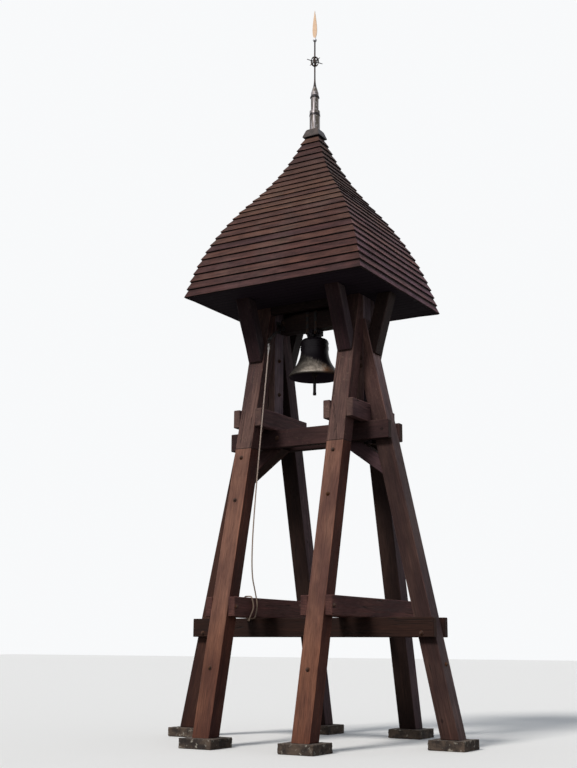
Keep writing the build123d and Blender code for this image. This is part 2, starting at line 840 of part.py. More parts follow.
def bend_radius(before, corner, after):
    """Radius that lets a rope's bend use most of the shorter run beside it."""
    into = corner - before
    away = after - corner
    turn = radians(into.get_angle(away))
    return 0.45 * min(into.length, away.length) / tan(turn / 2)


rope_radii = [bend_radius(*rope_points[at : at + 3]) for at in range(len(rope_points) - 2)]
print("rope radii", [round(radius) for radius in rope_radii])


def knot_rounds(diameter, height):
    """Stations of a barrel-shaped knot: how far along it is, and how thick there."""
    full = diameter / 2
    tip = full - knot_taper
    return (0, tip), (knot_taper, full), (height - knot_taper, full), (height, tip)


with BuildPart() as rope_knot:
    for along, radius in knot_rounds(knot_diameter, knot_height):
        with BuildSketch(Plane(origin=knot_anchor + rope_run * along, z_dir=rope_run)):
            Circle(radius)
    loft(ruled=True)
    with BuildSketch(Plane.XZ.offset(-lever_end_y)):
        with Locations((lever_x, bow_bar_height - knot_loop_radius)):
            RegularPolygon(rope_diameter / 2, 8)
    revolve(axis=Axis((lever_x, lever_end_y, bow_bar_height), (1, 0, 0)))
keep(rope_knot.part, "rope_knot")

with BuildPart() as bell_rope:
    with BuildLine() as rope_line:
        FilletPolyline(*rope_points, radius=rope_radii)
    with BuildSketch(Plane(origin=rope_start, z_dir=rope_run)):
        Circle(rope_diameter / 2)
    sweep(path=rope_line.line)
rope_length = rope_line.wires()[0].length
rope_section = pi * rope_diameter**2 / 4
print("rope length", rope_length, "volume", bell_rope.part.volume, "of", rope_section * rope_length)
keep(bell_rope.part, "bell_rope")

rope_end = rope_points[-1]
tail_run = (rope_end - rope_points[-2]).normalized()
with BuildPart() as rope_end_knot:
    for along, radius in knot_rounds(end_knot_diameter, end_knot_height):
        with BuildSketch(Plane(origin=rope_end + tail_run * along, z_dir=tail_run)):
            Circle(radius)
    loft(ruled=True)
keep(rope_end_knot.part, "rope_end_knot")
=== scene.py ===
# %% [markdown]
# # A timber bell tower
#
# The tower stands on two tripods of heavy squared timber, clamped by pairs of beams.
# A curved boarded roof sits on the tripods' heads and a bell swings between them.
# The frame comes packed from the CAD model, in metres, with the ground at z = 0.
# X runs from tripod to tripod, -Y is the front, and nothing of the frame is moved here.
# This lesson gives every timber its finish and adds the boards, bolts and small parts.

# %% Load the frame
import math
import random

import bpy
import numpy as np
from mathutils import Matrix, Vector


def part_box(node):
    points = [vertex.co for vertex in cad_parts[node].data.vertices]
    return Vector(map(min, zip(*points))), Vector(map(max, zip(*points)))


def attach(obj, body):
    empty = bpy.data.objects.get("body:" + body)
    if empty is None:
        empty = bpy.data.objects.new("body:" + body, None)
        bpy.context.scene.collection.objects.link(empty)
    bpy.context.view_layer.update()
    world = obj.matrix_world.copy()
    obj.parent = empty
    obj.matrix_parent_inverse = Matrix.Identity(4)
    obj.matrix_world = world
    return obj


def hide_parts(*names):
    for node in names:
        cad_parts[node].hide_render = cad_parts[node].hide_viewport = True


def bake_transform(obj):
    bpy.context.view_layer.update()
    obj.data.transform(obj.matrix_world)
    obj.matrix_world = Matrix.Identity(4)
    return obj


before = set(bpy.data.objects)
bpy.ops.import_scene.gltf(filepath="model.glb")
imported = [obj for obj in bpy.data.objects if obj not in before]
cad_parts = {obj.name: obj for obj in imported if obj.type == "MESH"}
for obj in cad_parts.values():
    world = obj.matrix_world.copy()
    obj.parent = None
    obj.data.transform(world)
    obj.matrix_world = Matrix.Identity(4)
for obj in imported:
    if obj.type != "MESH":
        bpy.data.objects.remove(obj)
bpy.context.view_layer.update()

chance = random.Random(7)

# %% [markdown]
# ## The camera
#
# The view is from a standing adult's eye height, well to the right of the front, looking
# up. A least-squares fit of the frame's corners to the picture gave place, turn and lens.
# The lens is moderate, so the posts keep nearly straight verticals with a little
# convergence at the top.

# %% Camera
camera = bpy.data.objects.new("camera", bpy.data.cameras.new("camera"))
bpy.context.scene.collection.objects.link(camera)
camera_place = (9.358, -16.560, 1.490)
turned_left, tilted_up, rolled = 30.805, 12.839, 0.335
aim = Matrix.Rotation(math.radians(turned_left), 4, "Z")
tilt = Matrix.Rotation(math.radians(90 + tilted_up), 4, "X")
roll = Matrix.Rotation(math.radians(rolled), 4, "Z")
camera.matrix_world = Matrix.Translation(camera_place) @ aim @ tilt @ roll
camera.data.lens = 53.885
camera.data.clip_end = 300
bpy.context.scene.camera = camera
print("camera at", [round(c, 3) for c in camera.location])

# %% [markdown]
# ## Small tools for the hand
#
# An operator acts on whatever is selected, so each step begins by selecting nothing.
# A finished piece has its modifiers applied and its place in its mesh, and its object
# lies unturned at the origin, as the frame's own pieces do.

# %% Selecting and starting a piece
def edit_mode(on):
    bpy.ops.object.mode_set(mode="EDIT" if on else "OBJECT")


def clear_selection():
    """Leaves edit mode and deselects everything."""
    if bpy.context.object and bpy.context.object.mode != "OBJECT":
        edit_mode(False)
    bpy.ops.object.select_all(action="DESELECT")


def take(piece):
    """Selects one piece and makes it active."""
    clear_selection()
    piece.select_set(True)
    bpy.context.view_layer.objects.active = piece


def edit_all(piece):
    """Enters edit mode with the whole piece selected."""
    take(piece)
    edit_mode(True)
    bpy.ops.mesh.select_all(action="SELECT")


def name_piece(piece, name):
    piece.name = name
    piece.data.name = name
    return piece


def start_cube(name, centre, size):
    """A cube of that size, centred there."""
    clear_selection()
    bpy.ops.mesh.primitive_cube_add(size=1, location=centre)
    piece = name_piece(bpy.context.object, name)
    piece.scale = size
    bpy.ops.object.transform_apply(location=False, rotation=False, scale=True)
    return piece


print("ready to start a piece")

# %% Picking faces and edges
def start_selecting(piece, others):
    """Takes a piece with nothing of its mesh selected, others being the kinds not asked for."""
    take(piece)
    for part in others:
        part.foreach_set("select", [False] * len(part))


def pick_faces(piece, test):
    """Enters edit mode with the faces selected for which test(centre, normal) holds."""
    start_selecting(piece, (piece.data.vertices, piece.data.edges))
    for face in piece.data.polygons:
        face.select = test(face.center, face.normal)
    edit_mode(True)
    bpy.ops.mesh.select_mode(type="FACE")


def pick_edges(piece, test):
    """Enters edit mode with the edges selected for which test(one end, other end) holds."""
    start_selecting(piece, (piece.data.vertices, piece.data.polygons))
    places = [vertex.co for vertex in piece.data.vertices]
    for edge in piece.data.edges:
        edge.select = test(*[places[end] for end in edge.vertices])
    edit_mode(True)
    bpy.ops.mesh.select_mode(type="EDGE")


print("ready to pick faces and edges")

# %% Settling and joining
def settle(piece, smooth_below=35):
    """Applies modifiers and place, and smooths the edges that turn less than that."""
    take(piece)
    for modifier in list(piece.modifiers):
        bpy.ops.object.modifier_apply(modifier=modifier.name)
    bpy.ops.object.transform_apply(location=True, rotation=True, scale=True)
    bpy.ops.object.shade_smooth_by_angle(angle=math.radians(smooth_below))
    return piece


def join_pieces(pieces, name):
    """Joins several pieces of one finish into one."""
    clear_selection()
    for piece in pieces:
        piece.select_set(True)
    bpy.context.view_layer.objects.active = pieces[0]
    if len(pieces) > 1:
        bpy.ops.object.join()
    return settle(name_piece(bpy.context.object, name))


print("ready to settle and join")

# %% Copying a pattern
def copy_of(pattern):
    """A copy with a mesh of its own."""
    take(pattern)
    bpy.ops.object.duplicate()
    return bpy.context.object


def copies(pattern, name, places):
    """Copies a pattern, modelled along +Z, to each place, and joins the copies."""
    made = []
    for point, outward in places:
        copy = copy_of(pattern)
        copy.rotation_euler = Vector(outward).to_track_quat("Z", "Y").to_euler()
        copy.location = point
        made.append(copy)
    return join_pieces(made, name)


def discard(pattern):
    """Removes a pattern once all of its copies are made."""
    bpy.data.objects.remove(pattern)


print("ready to copy")

# %% Broken edges and turned pieces
def broken_edges(piece, name, width, segments):
    """A small bevel on the edges that turn by more than 50 degrees."""
    edge = piece.modifiers.new(name, "BEVEL")
    edge.width = width
    edge.segments = segments
    edge.angle_limit = math.radians(50)


def turned_piece(name, profile, sides=40):
    """A round piece raised from a disc, one extrusion for each (radius, height)."""
    clear_selection()
    radius, height = profile[0]
    bpy.ops.mesh.primitive_circle_add(
        vertices=sides, radius=radius, location=(0, 0, 0), fill_type="NGON"
    )
    piece = name_piece(bpy.context.object, name)
    edit_all(piece)
    bpy.ops.transform.translate(value=(0, 0, height))
    for next_radius, next_height in profile[1:]:
        bpy.ops.mesh.extrude_region_move(
            TRANSFORM_OT_translate={"value": (0, 0, next_height - height)}
        )
        ratio = next_radius / radius
        bpy.ops.transform.resize(value=(ratio, ratio, 1), center_override=(0, 0, next_height))
        radius, height = next_radius, next_height
    bpy.ops.mesh.select_all(action="SELECT")
    bpy.ops.mesh.normals_make_consistent(inside=False)
    edit_mode(False)
    return piece


print("hand tools ready")

# %% [markdown]
# ## The bell rope
#
# A laid rope of 24 mm runs from a knot at the lever down to the lower inner clamp of the
# left tripod. It is taut, goes twice round the clamp and ends in a knot on a short tail.
# Its control points are those of the frame's rope, and one more follows the knot, where
# the rope hangs straight. A rope's three strands are tubes that wind about the smooth
# centre line, which is read back from the curve.

# %% The rope's line
rope_points = [
    (-0.560, -0.5866, 6.3604),
    (-0.560, -0.6073, 6.2179),
    (-0.560, -0.982, 3.640),
    (-0.584, -1.012, 2.640),
    (-0.566, -0.895, 2.290),
    (-0.562, -0.840, 2.110),
    (-0.565, -0.905, 1.932),
    (-0.587, -0.909, 1.910),
    (-0.707, -0.927, 1.910),
    (-0.729, -0.931, 1.932),
    (-0.729, -0.976, 2.232),
    (-0.707, -0.980, 2.254),
    (-0.587, -1.000, 2.254),
    (-0.565, -1.005, 2.232),
    (-0.562, -0.945, 2.080),
    (-0.563, -1.040, 1.955),
    (-0.561, -1.085, 1.900),
]
rope_diameter = 0.024


def smooth_line(name, points, steps):
    """The points of a smooth curve through a few control points."""
    curve = bpy.data.curves.new(name, "CURVE")
    curve.dimensions = "3D"
    spline = curve.splines.new("NURBS")
    spline.points.add(len(points) - 1)
    for knot, place in zip(spline.points, points):
        knot.co = (*place, 1)
    spline.order_u = 3
    spline.use_endpoint_u = True
    spline.resolution_u = steps
    line = bpy.data.objects.new(name, curve)
    mesh = bpy.data.meshes.new_from_object(line)
    places = [vertex.co.copy() for vertex in mesh.vertices]
    bpy.data.objects.remove(line)
    return places


rope_line = smooth_line("rope_line", rope_points, 40)

# %% [markdown]
# A strand is placed by walking along the line with a pair of side directions that never
# twist by themselves. Each strand's centre turns round the line once in about 85 mm, and
# its own ring of points is set square to the line.

# %% Walking along a line
def even_line(places, spacing):
    """The same line, with points at an even spacing."""
    places = np.array([tuple(place) for place in places])
    along = np.concatenate([[0], np.cumsum(np.linalg.norm(np.diff(places, axis=0), axis=1))])
    count = max(2, round(along[-1] / spacing))
    stops = np.linspace(0, along[-1], count + 1)
    return [Vector([np.interp(s, along, places[:, axis]) for axis in range(3)]) for s in stops]


def side_directions(places):
    """For each point, the line's direction and a side direction carried along it."""
    ahead = [(b - a).normalized() for a, b in zip(places, places[1:])]
    ahead.append(ahead[-1])
    side = ahead[0].orthogonal().normalized()
    frames = []
    for direction in ahead:
        side = (side - direction * side.dot(direction)).normalized()
        frames.append((direction, side, direction.cross(side)))
    return frames


def round_point(side, across, turn):
    """The direction at that turn round a line."""
    return side * math.cos(turn) + across * math.sin(turn)


rope_places = even_line(rope_line, 0.0105)
print("rope places", len(rope_places))

# %% Strands wound about a line
def laid_strands(name, places, diameter, strands=3, pitch=0.085, sides=7):
    """A laid rope as one mesh: strands that wind about the line, with closed ends."""
    frames = side_directions(places)
    reach, thick = diameter * 0.26, diameter * 0.255
    points, faces, turns = [], [], []
    travelled = [0.0]
    for a, b in zip(places, places[1:]):
        travelled.append(travelled[-1] + (b - a).length)
    for strand in range(strands):
        first = len(points)
        for place, (_, side, across), far in zip(places, frames, travelled):
            angle = 2 * math.pi * (far / pitch + strand / strands)
            centre = place + round_point(side, across, angle) * reach
            for corner in range(sides):
                turn = 2 * math.pi * corner / sides + angle
                points.append(centre + round_point(side, across, turn) * thick)
                turns.append(far / pitch + corner / sides)
        for ring in range(len(places) - 1):
            for corner in range(sides):
                a = first + ring * sides + corner
                b = first + ring * sides + (corner + 1) % sides
                faces.append((a, b, b + sides, a + sides))
        faces.append(tuple(first + corner for corner in reversed(range(sides))))
        last = first + (len(places) - 1) * sides
        faces.append(tuple(last + corner for corner in range(sides)))
    mesh = bpy.data.meshes.new(name)
    mesh.from_pydata([tuple(point) for point in points], [], faces)
    mesh.attributes.new("lay", "FLOAT", "POINT").data.foreach_set("value", turns)
    piece = bpy.data.objects.new(name, mesh)
    bpy.context.scene.collection.objects.link(piece)
    edit_all(piece)
    bpy.ops.mesh.normals_make_consistent(inside=False)
    edit_mode(False)
    bpy.ops.object.shade_smooth()
    return piece


bell_rope = laid_strands("rope_strands", rope_places, rope_diameter)
print("rope faces", len(bell_rope.data.polygons))

# %% [markdown]
# Above, the rope's eye hangs in the lever's shackle and is closed by a knot. Below, the
# short tail ends in a small overhand knot. A knot is rope wound on itself, so each is a
# short coil of the same strand, drawn tight round the rope.

# %% Coils
def coil_knot(name, centre, axis, radius, turns, thickness, seed):
    """A tight coil of rope round an axis, a little uneven."""
    wobble = random.Random(seed)
    side = axis.orthogonal().normalized()
    across = axis.cross(side)
    places = []
    steps = turns * 14
    for step in range(steps + 1):
        turn = 2 * math.pi * step / 14
        share = step / steps - 0.5
        grow = radius * (1 - 0.5 * abs(2 * share) ** 2.5) + wobble.uniform(-0.0012, 0.0012)
        lift = axis * (share * turns * thickness * 0.86)
        places.append(centre + lift + round_point(side, across, turn) * grow)
    return laid_strands(name, places, thickness, pitch=0.06)


rope_top, below_top = Vector(rope_points[0]), Vector(rope_points[1])
rope_down = (below_top - rope_top).normalized()
upper_knot = coil_knot("upper_coil", rope_top - rope_down * 0.031, rope_down, 0.0135, 3, 0.020, 3)

tail, before_tail = Vector(rope_points[-1]), Vector(rope_points[-2])
tail_down = (tail - before_tail).normalized()
tail_knot = coil_knot("tail_knot", tail + tail_down * 0.02, tail_down, 0.0115, 2, 0.020, 5)
print("coils", len(upper_knot.data.polygons), len(tail_knot.data.polygons))

# %% Knots
eye_centre, eye_radius = Vector((-0.560, -0.578, 6.446)), 0.019
eye_line = []
for step in range(29):
    turn = 2 * math.pi * step / 28
    eye_line.append(eye_centre + Vector((0, math.sin(turn), -math.cos(turn))) * eye_radius)
rope_eye = laid_strands("rope_eye", eye_line, rope_diameter, pitch=0.06)
rope_knot = join_pieces([upper_knot, rope_eye], "rope_eye_and_knot")

tail_line = [tail + tail_down * (0.004 * step) for step in range(11)]
tail_end = laid_strands("tail_end", tail_line, 0.019)
tail_knot = join_pieces([tail_knot, tail_end], "rope_tail_knot")
print("knots", len(rope_knot.data.polygons), len(tail_knot.data.polygons))

# %% What the rope rides on
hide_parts("bell_rope")
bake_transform(bell_rope)
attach(rope_knot, "bell_and_headstock")
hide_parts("rope_knot")
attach(tail_knot, "frame")
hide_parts("rope_end_knot")
print("rope rides from the lever to the clamp")

# %% [markdown]
# ## Making finishes
#
# Every finish is a small graph of procedural nodes, and short helpers keep the graphs
# readable. Colours are written as three numbers. Noise is read in the object's own
# metres, so a pattern has its true size on every timber and stays with the piece.

# %% Starting a finish and giving it to a piece
def start_finish(name, roughness=0.7, metallic=0.0, sheen=0.5):
    """A new material; returns it with its tree."""
    finish = bpy.data.materials.new(name)
    finish.use_nodes = True
    shader = finish.node_tree.nodes["Principled BSDF"]
    shader.inputs["Roughness"].default_value = roughness
    shader.inputs["Metallic"].default_value = metallic
    shader.inputs["Specular IOR Level"].default_value = sheen
    return finish, finish.node_tree


def coat(piece, finish):
    """Gives a piece one finish."""
    piece.data.materials.clear()
    piece.data.materials.append(finish)


def coat_nodes(nodes, finish):
    """Gives several of the frame's own pieces one finish."""
    for node in nodes:
        coat(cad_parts[node], finish)


print("ready to start a finish")

# %% Putting nodes in a graph
def put(tree, kind, values=None, **settings):
    """Adds a node, sets it, and gives its inputs a value or a link."""
    made = tree.nodes.new(kind)
    for key, value in settings.items():
        setattr(made, key, value)
    for key, value in (values or {}).items():
        socket = made.inputs[key]
        if isinstance(value, bpy.types.NodeSocket):
            tree.links.new(value, socket)
        else:
            socket.default_value = (*value, 1.0) if socket.type == "RGBA" else value
    return made


def where(tree):
    """A point's place on its object, and the direction that its surface faces."""
    texture = put(tree, "ShaderNodeTexCoord").outputs
    return texture["Object"], texture["Normal"]


def split(tree, vector):
    return put(tree, "ShaderNodeSeparateXYZ", {0: vector}).outputs


def attribute(tree, name):
    return put(tree, "ShaderNodeAttribute", attribute_name=name).outputs["Fac"]


print("ready to put nodes")

# %% Sums and steps
def maths(tree, operation, first, second=0.5):
    return put(tree, "ShaderNodeMath", {0: first, 1: second}, operation=operation).outputs[0]


def plus(tree, first, second):
    return maths(tree, "ADD", first, second)


def minus(tree, first, second):
    return maths(tree, "SUBTRACT", first, second)


def times(tree, first, second):
    return maths(tree, "MULTIPLY", first, second)


def rest_of(tree, share):
    return minus(tree, 1.0, share)


def size_of(tree, value):
    return maths(tree, "ABSOLUTE", value)


def soft_step(tree, value, low, high):
    """Goes smoothly from 0 at low to 1 at high."""
    values = {"Value": value, "From Min": low, "From Max": high}
    return put(tree, "ShaderNodeMapRange", values, interpolation_type="SMOOTHSTEP").outputs["Result"]


def near(tree, value, middle, inner, outer):
    """Is 1 within inner of the middle and goes smoothly to 0 at outer."""
    return rest_of(tree, soft_step(tree, size_of(tree, minus(tree, value, middle)), inner, outer))


print("sums and steps ready")

# %% Colours laid over each other
def mix(tree, share, first, second, kind="MIX"):
    """The second colour laid over the first by a share."""
    values = {0: share, 6: first, 7: second}
    return put(tree, "ShaderNodeMix", values, data_type="RGBA", blend_type=kind).outputs[2]


def tint(tree, base, factors):
    """A colour multiplied by another."""
    return mix(tree, 1.0, base, factors, "MULTIPLY")


def tint_where(tree, base, share, strength, factors):
    """Multiplies a colour where the share is 1, as far as the strength says."""
    return mix(tree, times(tree, share, strength), base, tint(tree, base, factors))


def cover_where(tree, base, share, strength, tone):
    """Covers a colour where the share is 1, as far as the strength says."""
    return mix(tree, times(tree, share, strength), base, tone)


def grade(tree, base, share, low, high):
    """Multiplies a colour by factors that go from low to high."""
    return tint(tree, base, mix(tree, share, low, high))


print("colours ready")

# %% Patterns in a timber's own directions
def grain_space(tree, vector, turn, size):
    """Turns a vector into a timber's own directions, with one unit for each size in metres."""
    values = {"Vector": vector, "Rotation": turn, "Scale": size}
    return put(tree, "ShaderNodeMapping", values, vector_type="TEXTURE").outputs["Vector"]


def noise(tree, vector, detail=3.0, roughness=0.55, scale=1.0, shift=0.0):
    """Smooth noise of about unit size in the vector's own units."""
    values = {"Vector": vector, "W": shift, "Scale": scale, "Detail": detail, "Roughness": roughness}
    return put(tree, "ShaderNodeTexNoise", values, noise_dimensions="4D").outputs["Fac"]


def grain(tree, place, turn, size, detail=4, roughness=0.6, shift=0.0):
    """Noise drawn out along a timber: its size in metres across, across and along."""
    return noise(tree, grain_space(tree, place, turn, size), detail, roughness, shift=shift)


print("patterns ready")

# %% What reaches the shader
def paint(tree, value, socket="Base Color"):
    """Leads a colour or a value to the shader."""
    tree.links.new(value, tree.nodes["Principled BSDF"].inputs[socket])


def dull(tree, value, low, high, least, most):
    """Roughness that goes from least to most as a value goes from low to high."""
    values = {"Value": value, "From Min": low, "From Max": high, "To Min": least, "To Max": most}
    paint(tree, put(tree, "ShaderNodeMapRange", values).outputs["Result"], "Roughness")


def raise_surface(tree, height, distance, strength=0.6):
    """Bump by a height of 0 to 1 that stands for that many metres."""
    values = {"Height": height, "Distance": distance, "Strength": strength}
    paint(tree, put(tree, "ShaderNodeBump", values).outputs["Normal"], "Normal")


print("finish helpers ready")

# %% [markdown]
# ## Tarred and weathered timber
#
# The frame was tarred once and has weathered. Its look has these layers: long pale and
# dark streaks along the grain, a fine fibre, drying checks that run as thin dark lines,
# broad blotches, worn arrises, end grain with rings, tan spots of lichen high up, and a
# splash line near the ground. On some members a painted light brightens the timber high up
# under the roof. Faces towards the sun get a painted light colour, a warm brown on the
# front legs, and the others a painted shade colour, both set member by member.
# Grain follows the timber, so each finish is given the turn that lays +Z along the
# timber's length.

# %% Layers that follow the grain
def grain_layers(tree, place, turn, seed):
    """Four patterns along the timber: streak, fibre, blotch and check."""
    sizes = {
        "streak": ((0.036, 0.036, 1.1), 5, 0.62, 0.0),
        "fibre": ((0.009, 0.009, 0.22), 4, 0.68, 0.0),
        "blotch": ((0.35, 0.35, 0.9), 3, 0.5, 0.0),
        "check": ((0.085, 0.085, 3.2), 2, 0.5, 3.0),
    }
    return {
        name: grain(tree, place, turn, size, detail, rough, seed + shift)
        for name, (size, detail, rough, shift) in sizes.items()
    }


def streaked(tree, streak, tone, low=0.35, high=0.7, deep=0.6):
    """A colour that deepens and clears along the streaks."""
    return mix(tree, soft_step(tree, streak, low, high), tuple(c * deep for c in tone), tone)


def knots_in(tree, place, turn):
    """Small dark knots, a little longer along the grain, about one to a metre."""
    values = {"Vector": grain_space(tree, place, turn, (0.40, 0.40, 0.60)), "Scale": 1.0}
    cell = put(tree, "ShaderNodeTexVoronoi", values).outputs["Distance"]
    return rest_of(tree, soft_step(tree, cell, 0.035, 0.075))


def year_rings(tree, place, turn):
    """Rings on an end face, drawn by bands that a little noise bends."""
    values = {
        "Vector": grain_space(tree, place, turn, (1, 1, 1)),
        "Scale": 15.0,
        "Distortion": 9.0,
        "Detail": 2.0,
        "Detail Scale": 0.25,
    }
    rings = put(tree, "ShaderNodeTexWave", values, bands_direction="Y").outputs["Fac"]
    return mix(tree, rings, (0.62, 0.60, 0.60), (1.45, 1.40, 1.36))


print("grain layers ready")

# %% [markdown]
# The front legs have a joint at 4.66 m. Below it the face was cleaned and is orange-brown
# with fainter checks, above it the old grey-brown stays. From the foot up to the joint
# the cleaned face turns a little greyer.

# %% A timber's colours
joint_height = 4.658
as_it_is = (1, 1, 1)


def above_joint(tree, height):
    return soft_step(tree, height, joint_height - 0.003, joint_height + 0.004)


def timber_tones(tree, streak, height, facing, sunny, shady, upper):
    """Painted light in the sunny colour on faces towards the sun, painted shade in the shady colour on the
    others, with other tones above a joint.
    """
    warm = streaked(tree, streak, sunny, 0.3, deep=0.76)
    dark = streaked(tree, streak, shady)
    if upper:
        above = above_joint(tree, height)
        warm = mix(tree, above, warm, streaked(tree, streak, upper[0], high=0.68))
        dark = mix(tree, above, dark, streaked(tree, streak, upper[1]))
        greyed = mix(tree, soft_step(tree, height, 1.0, 2.6), as_it_is, (1.08, 1.24, 1.44))
        warm = grade(tree, warm, above, greyed, as_it_is)
    # Painted light and shade: faces towards the sun take the lit colour, the others the shaded one.
    return mix(tree, soft_step(tree, times(tree, facing, -1.0), 0.25, 0.85), dark, warm)


def weathered(tree, body, streak, fibre, blotch):
    """Bleached streaks, dark hollows, raised fibres and broad blotches."""
    body = tint_where(tree, body, soft_step(tree, streak, 0.55, 0.78), 0.5, (1.75, 1.7, 1.65))
    body = tint_where(tree, body, soft_step(tree, fibre, 0.56, 0.38), 0.65, (0.48, 0.44, 0.44))
    body = tint_where(tree, body, soft_step(tree, fibre, 0.56, 0.72), 0.6, (1.5, 1.5, 1.5))
    blotched = soft_step(tree, blotch, 0.34, 0.66)
    return grade(tree, body, blotched, (0.66, 0.60, 0.64), (1.34, 1.30, 1.22))


def high_up(tree, body, place, height, seed, lichen, painted_light_under_roof):
    """Tan spots of lichen, and painted light that brightens the timber high up under the roof."""
    spots = soft_step(tree, noise(tree, place, 4, 0.7, scale=34, shift=seed), 0.56, 0.68)
    spots = times(tree, spots, soft_step(tree, height, 3.6, 4.8))
    body = cover_where(tree, body, spots, lichen, (0.26, 0.175, 0.12))
    # Painted light: a brighter tone high up, where the roof's shade falls.
    return grade(tree, body, soft_step(tree, height, 4.7, 6.1), as_it_is, (painted_light_under_roof,) * 3)


print("timber colours ready")

# %% [markdown]
# An arris is found where the surface faces neither of the timber's two ways across
# squarely, because the frame's edges are rounded. A check is a thin line where a long
# noise passes its middle value. It is left out on end faces. Old tar lies almost dull,
# so the shader gets only a little sheen.

# %% Timber finish
def timber_finish(name, turn, sunny, shady, upper, seed, wear, painted_light_under_roof):
    """Weathered timber whose grain runs along +Z after the turn, in radians."""
    finish, tree = start_finish("timber_" + name, sheen=0.16)
    place, outward = where(tree)
    height, facing = split(tree, place)[2], split(tree, outward)[1]
    layers = grain_layers(tree, place, turn, seed)
    streak, fibre, blotch = layers["streak"], layers["fibre"], layers["blotch"]
    own = [size_of(tree, way) for way in split(tree, grain_space(tree, outward, turn, (1, 1, 1)))]
    arris = soft_step(tree, maths(tree, "MINIMUM", own[0], own[1]), 0.35, 0.6)
    end = soft_step(tree, own[2], 0.6, 0.85)
    side = rest_of(tree, end)
    check = near(tree, layers["check"], 0.5, 0.0015, 0.009)
    check = times(tree, times(tree, check, soft_step(tree, blotch, 0.40, 0.55)), side)
    if upper:
        check = times(tree, check, maths(tree, "MAXIMUM", above_joint(tree, height), 0.45))

    body = timber_tones(tree, streak, height, facing, sunny, shady, upper)
    body = weathered(tree, body, streak, fibre, blotch)
    body = high_up(tree, body, place, height, seed, 0.4 if upper else 0.12, painted_light_under_roof)
    body = tint_where(tree, body, knots_in(tree, place, turn), 0.85, (0.30, 0.26, 0.26))
    rubbed = times(tree, arris, soft_step(tree, streak, 0.36, 0.56))
    body = tint_where(tree, body, rubbed, wear, (2.1, 2.1, 2.0))
    body = tint_where(tree, body, end, 0.9, year_rings(tree, place, turn))
    splash = plus(tree, height, times(tree, blotch, -0.5))
    foot = rest_of(tree, soft_step(tree, splash, -0.12, 0.28))
    body = tint_where(tree, body, foot, 0.7, (0.62, 0.52, 0.50))
    body = cover_where(tree, body, check, 0.85, (0.010, 0.007, 0.006))
    relief = minus(tree, times(tree, fibre, times(tree, side, 0.5)), check)
    if upper:
        groove = near(tree, height, joint_height, 0.003, 0.008)
        body = cover_where(tree, body, groove, 0.9, (0.008, 0.006, 0.006))
        relief = minus(tree, relief, groove)
    paint(tree, body)
    dull(tree, streak, 0.3, 0.7, 0.62, 0.85)
    raise_surface(tree, relief, 0.005, 0.8)
    return finish


print("timber finish ready")

# %% [markdown]
# The legs lean. The outer faces of a front or back leg and of an outer leg are known by
# how far they stand out at the footing's top and at the head, which gives the lean and
# later the places of the bolts.

# %% How the timbers lie
footing_top = 0.15
side_face = {"foot": 1.932, "head": 0.276, "head_height": 7.21}
outer_face = {"foot": 2.520, "head": 1.039, "head_height": 6.80}


def lean_of(face):
    """Degrees between a leg and the plumb line."""
    return math.degrees(math.atan2(face["foot"] - face["head"], face["head_height"] - footing_top))


def lean(axis, degrees):
    """The turn that lays +Z along a timber: a lean about one axis."""
    return tuple(math.radians(degrees) if axis == other else 0.0 for other in "XYZ")


def both(stem):
    """The left one and the right one."""
    return [stem + "_left", stem + "_right"]


side_lean, outer_lean = lean_of(side_face), lean_of(outer_face)
plumb = (0.0, 0.0, 0.0)
along_x = lean("Y", 90)
along_y = lean("X", -90)
print("leans", round(side_lean, 2), round(outer_lean, 2))

# %% Give every timber of the frame its finish
orange, orange_shade = (0.172, 0.075, 0.048), (0.135, 0.050, 0.036)
tar = (0.030, 0.017, 0.015)
# Each row: name, the frame's nodes, turn, then the painted light colour for faces towards the sun and the
# painted shade colour for the others.
timbers = [
    ("front_legs", both("leg_front"), lean("X", -side_lean), orange, orange_shade),
    ("back_legs", both("leg_back"), lean("X", side_lean), (0.036, 0.020, 0.017), (0.120, 0.076, 0.086)),
    ("right_leg", ["leg_outer_right"], lean("Y", -outer_lean), (0.066, 0.036, 0.031), (0.155, 0.104, 0.104)),
    ("left_leg", ["leg_outer_left"], lean("Y", outer_lean), (0.060, 0.026, 0.019), (0.10, 0.045, 0.033)),
    ("posts", both("post"), plumb, (0.150, 0.093, 0.083), (0.205, 0.150, 0.178)),
    ("front_struts", both("strut_front"), lean("X", 23), (0.040, 0.020, 0.024), (0.120, 0.088, 0.096)),
    ("back_struts", both("strut_back"), lean("X", -23), tar, tar),
    ("right_strut", ["strut_outer_right"], lean("Y", 15), tar, (0.045, 0.028, 0.026)),
    ("left_strut", ["strut_outer_left"], lean("Y", -15), tar, tar),
    ("right_knee", ["knee_brace_right"], lean("Y", -54), (0.064, 0.035, 0.042), (0.08, 0.045, 0.040)),
    ("left_knee", ["knee_brace_left"], lean("Y", 54), (0.054, 0.025, 0.024), (0.08, 0.045, 0.040)),
    ("upper_girts", ["upper_girts"], along_x, (0.060, 0.030, 0.029), (0.07, 0.04, 0.036)),
    ("lower_girts", ["lower_girts"], along_x, (0.026, 0.011, 0.008), (0.05, 0.024, 0.019)),
    ("upper_clamps", both("upper_clamps"), along_y, (0.118, 0.074, 0.067), (0.180, 0.100, 0.104)),
    ("lower_clamps", both("lower_clamps"), along_y, (0.088, 0.040, 0.036), (0.170, 0.077, 0.070)),
    ("headstock_oak", ["headstock"], along_x, (0.034, 0.020, 0.018), (0.05, 0.032, 0.030)),
    ("head_ties", ["head_tie_front", "head_tie_back"], along_x, (0.030, 0.017, 0.016), tar),
]
# The same pair of painted light and painted shade colours for the old tar above the front legs' joint.
upper_of = {"front_legs": ((0.128, 0.073, 0.065), (0.125, 0.061, 0.057))}
wear_of = {"front_legs": 0.85, "right_leg": 0.7, "upper_clamps": 0.5, "lower_clamps": 0.4}
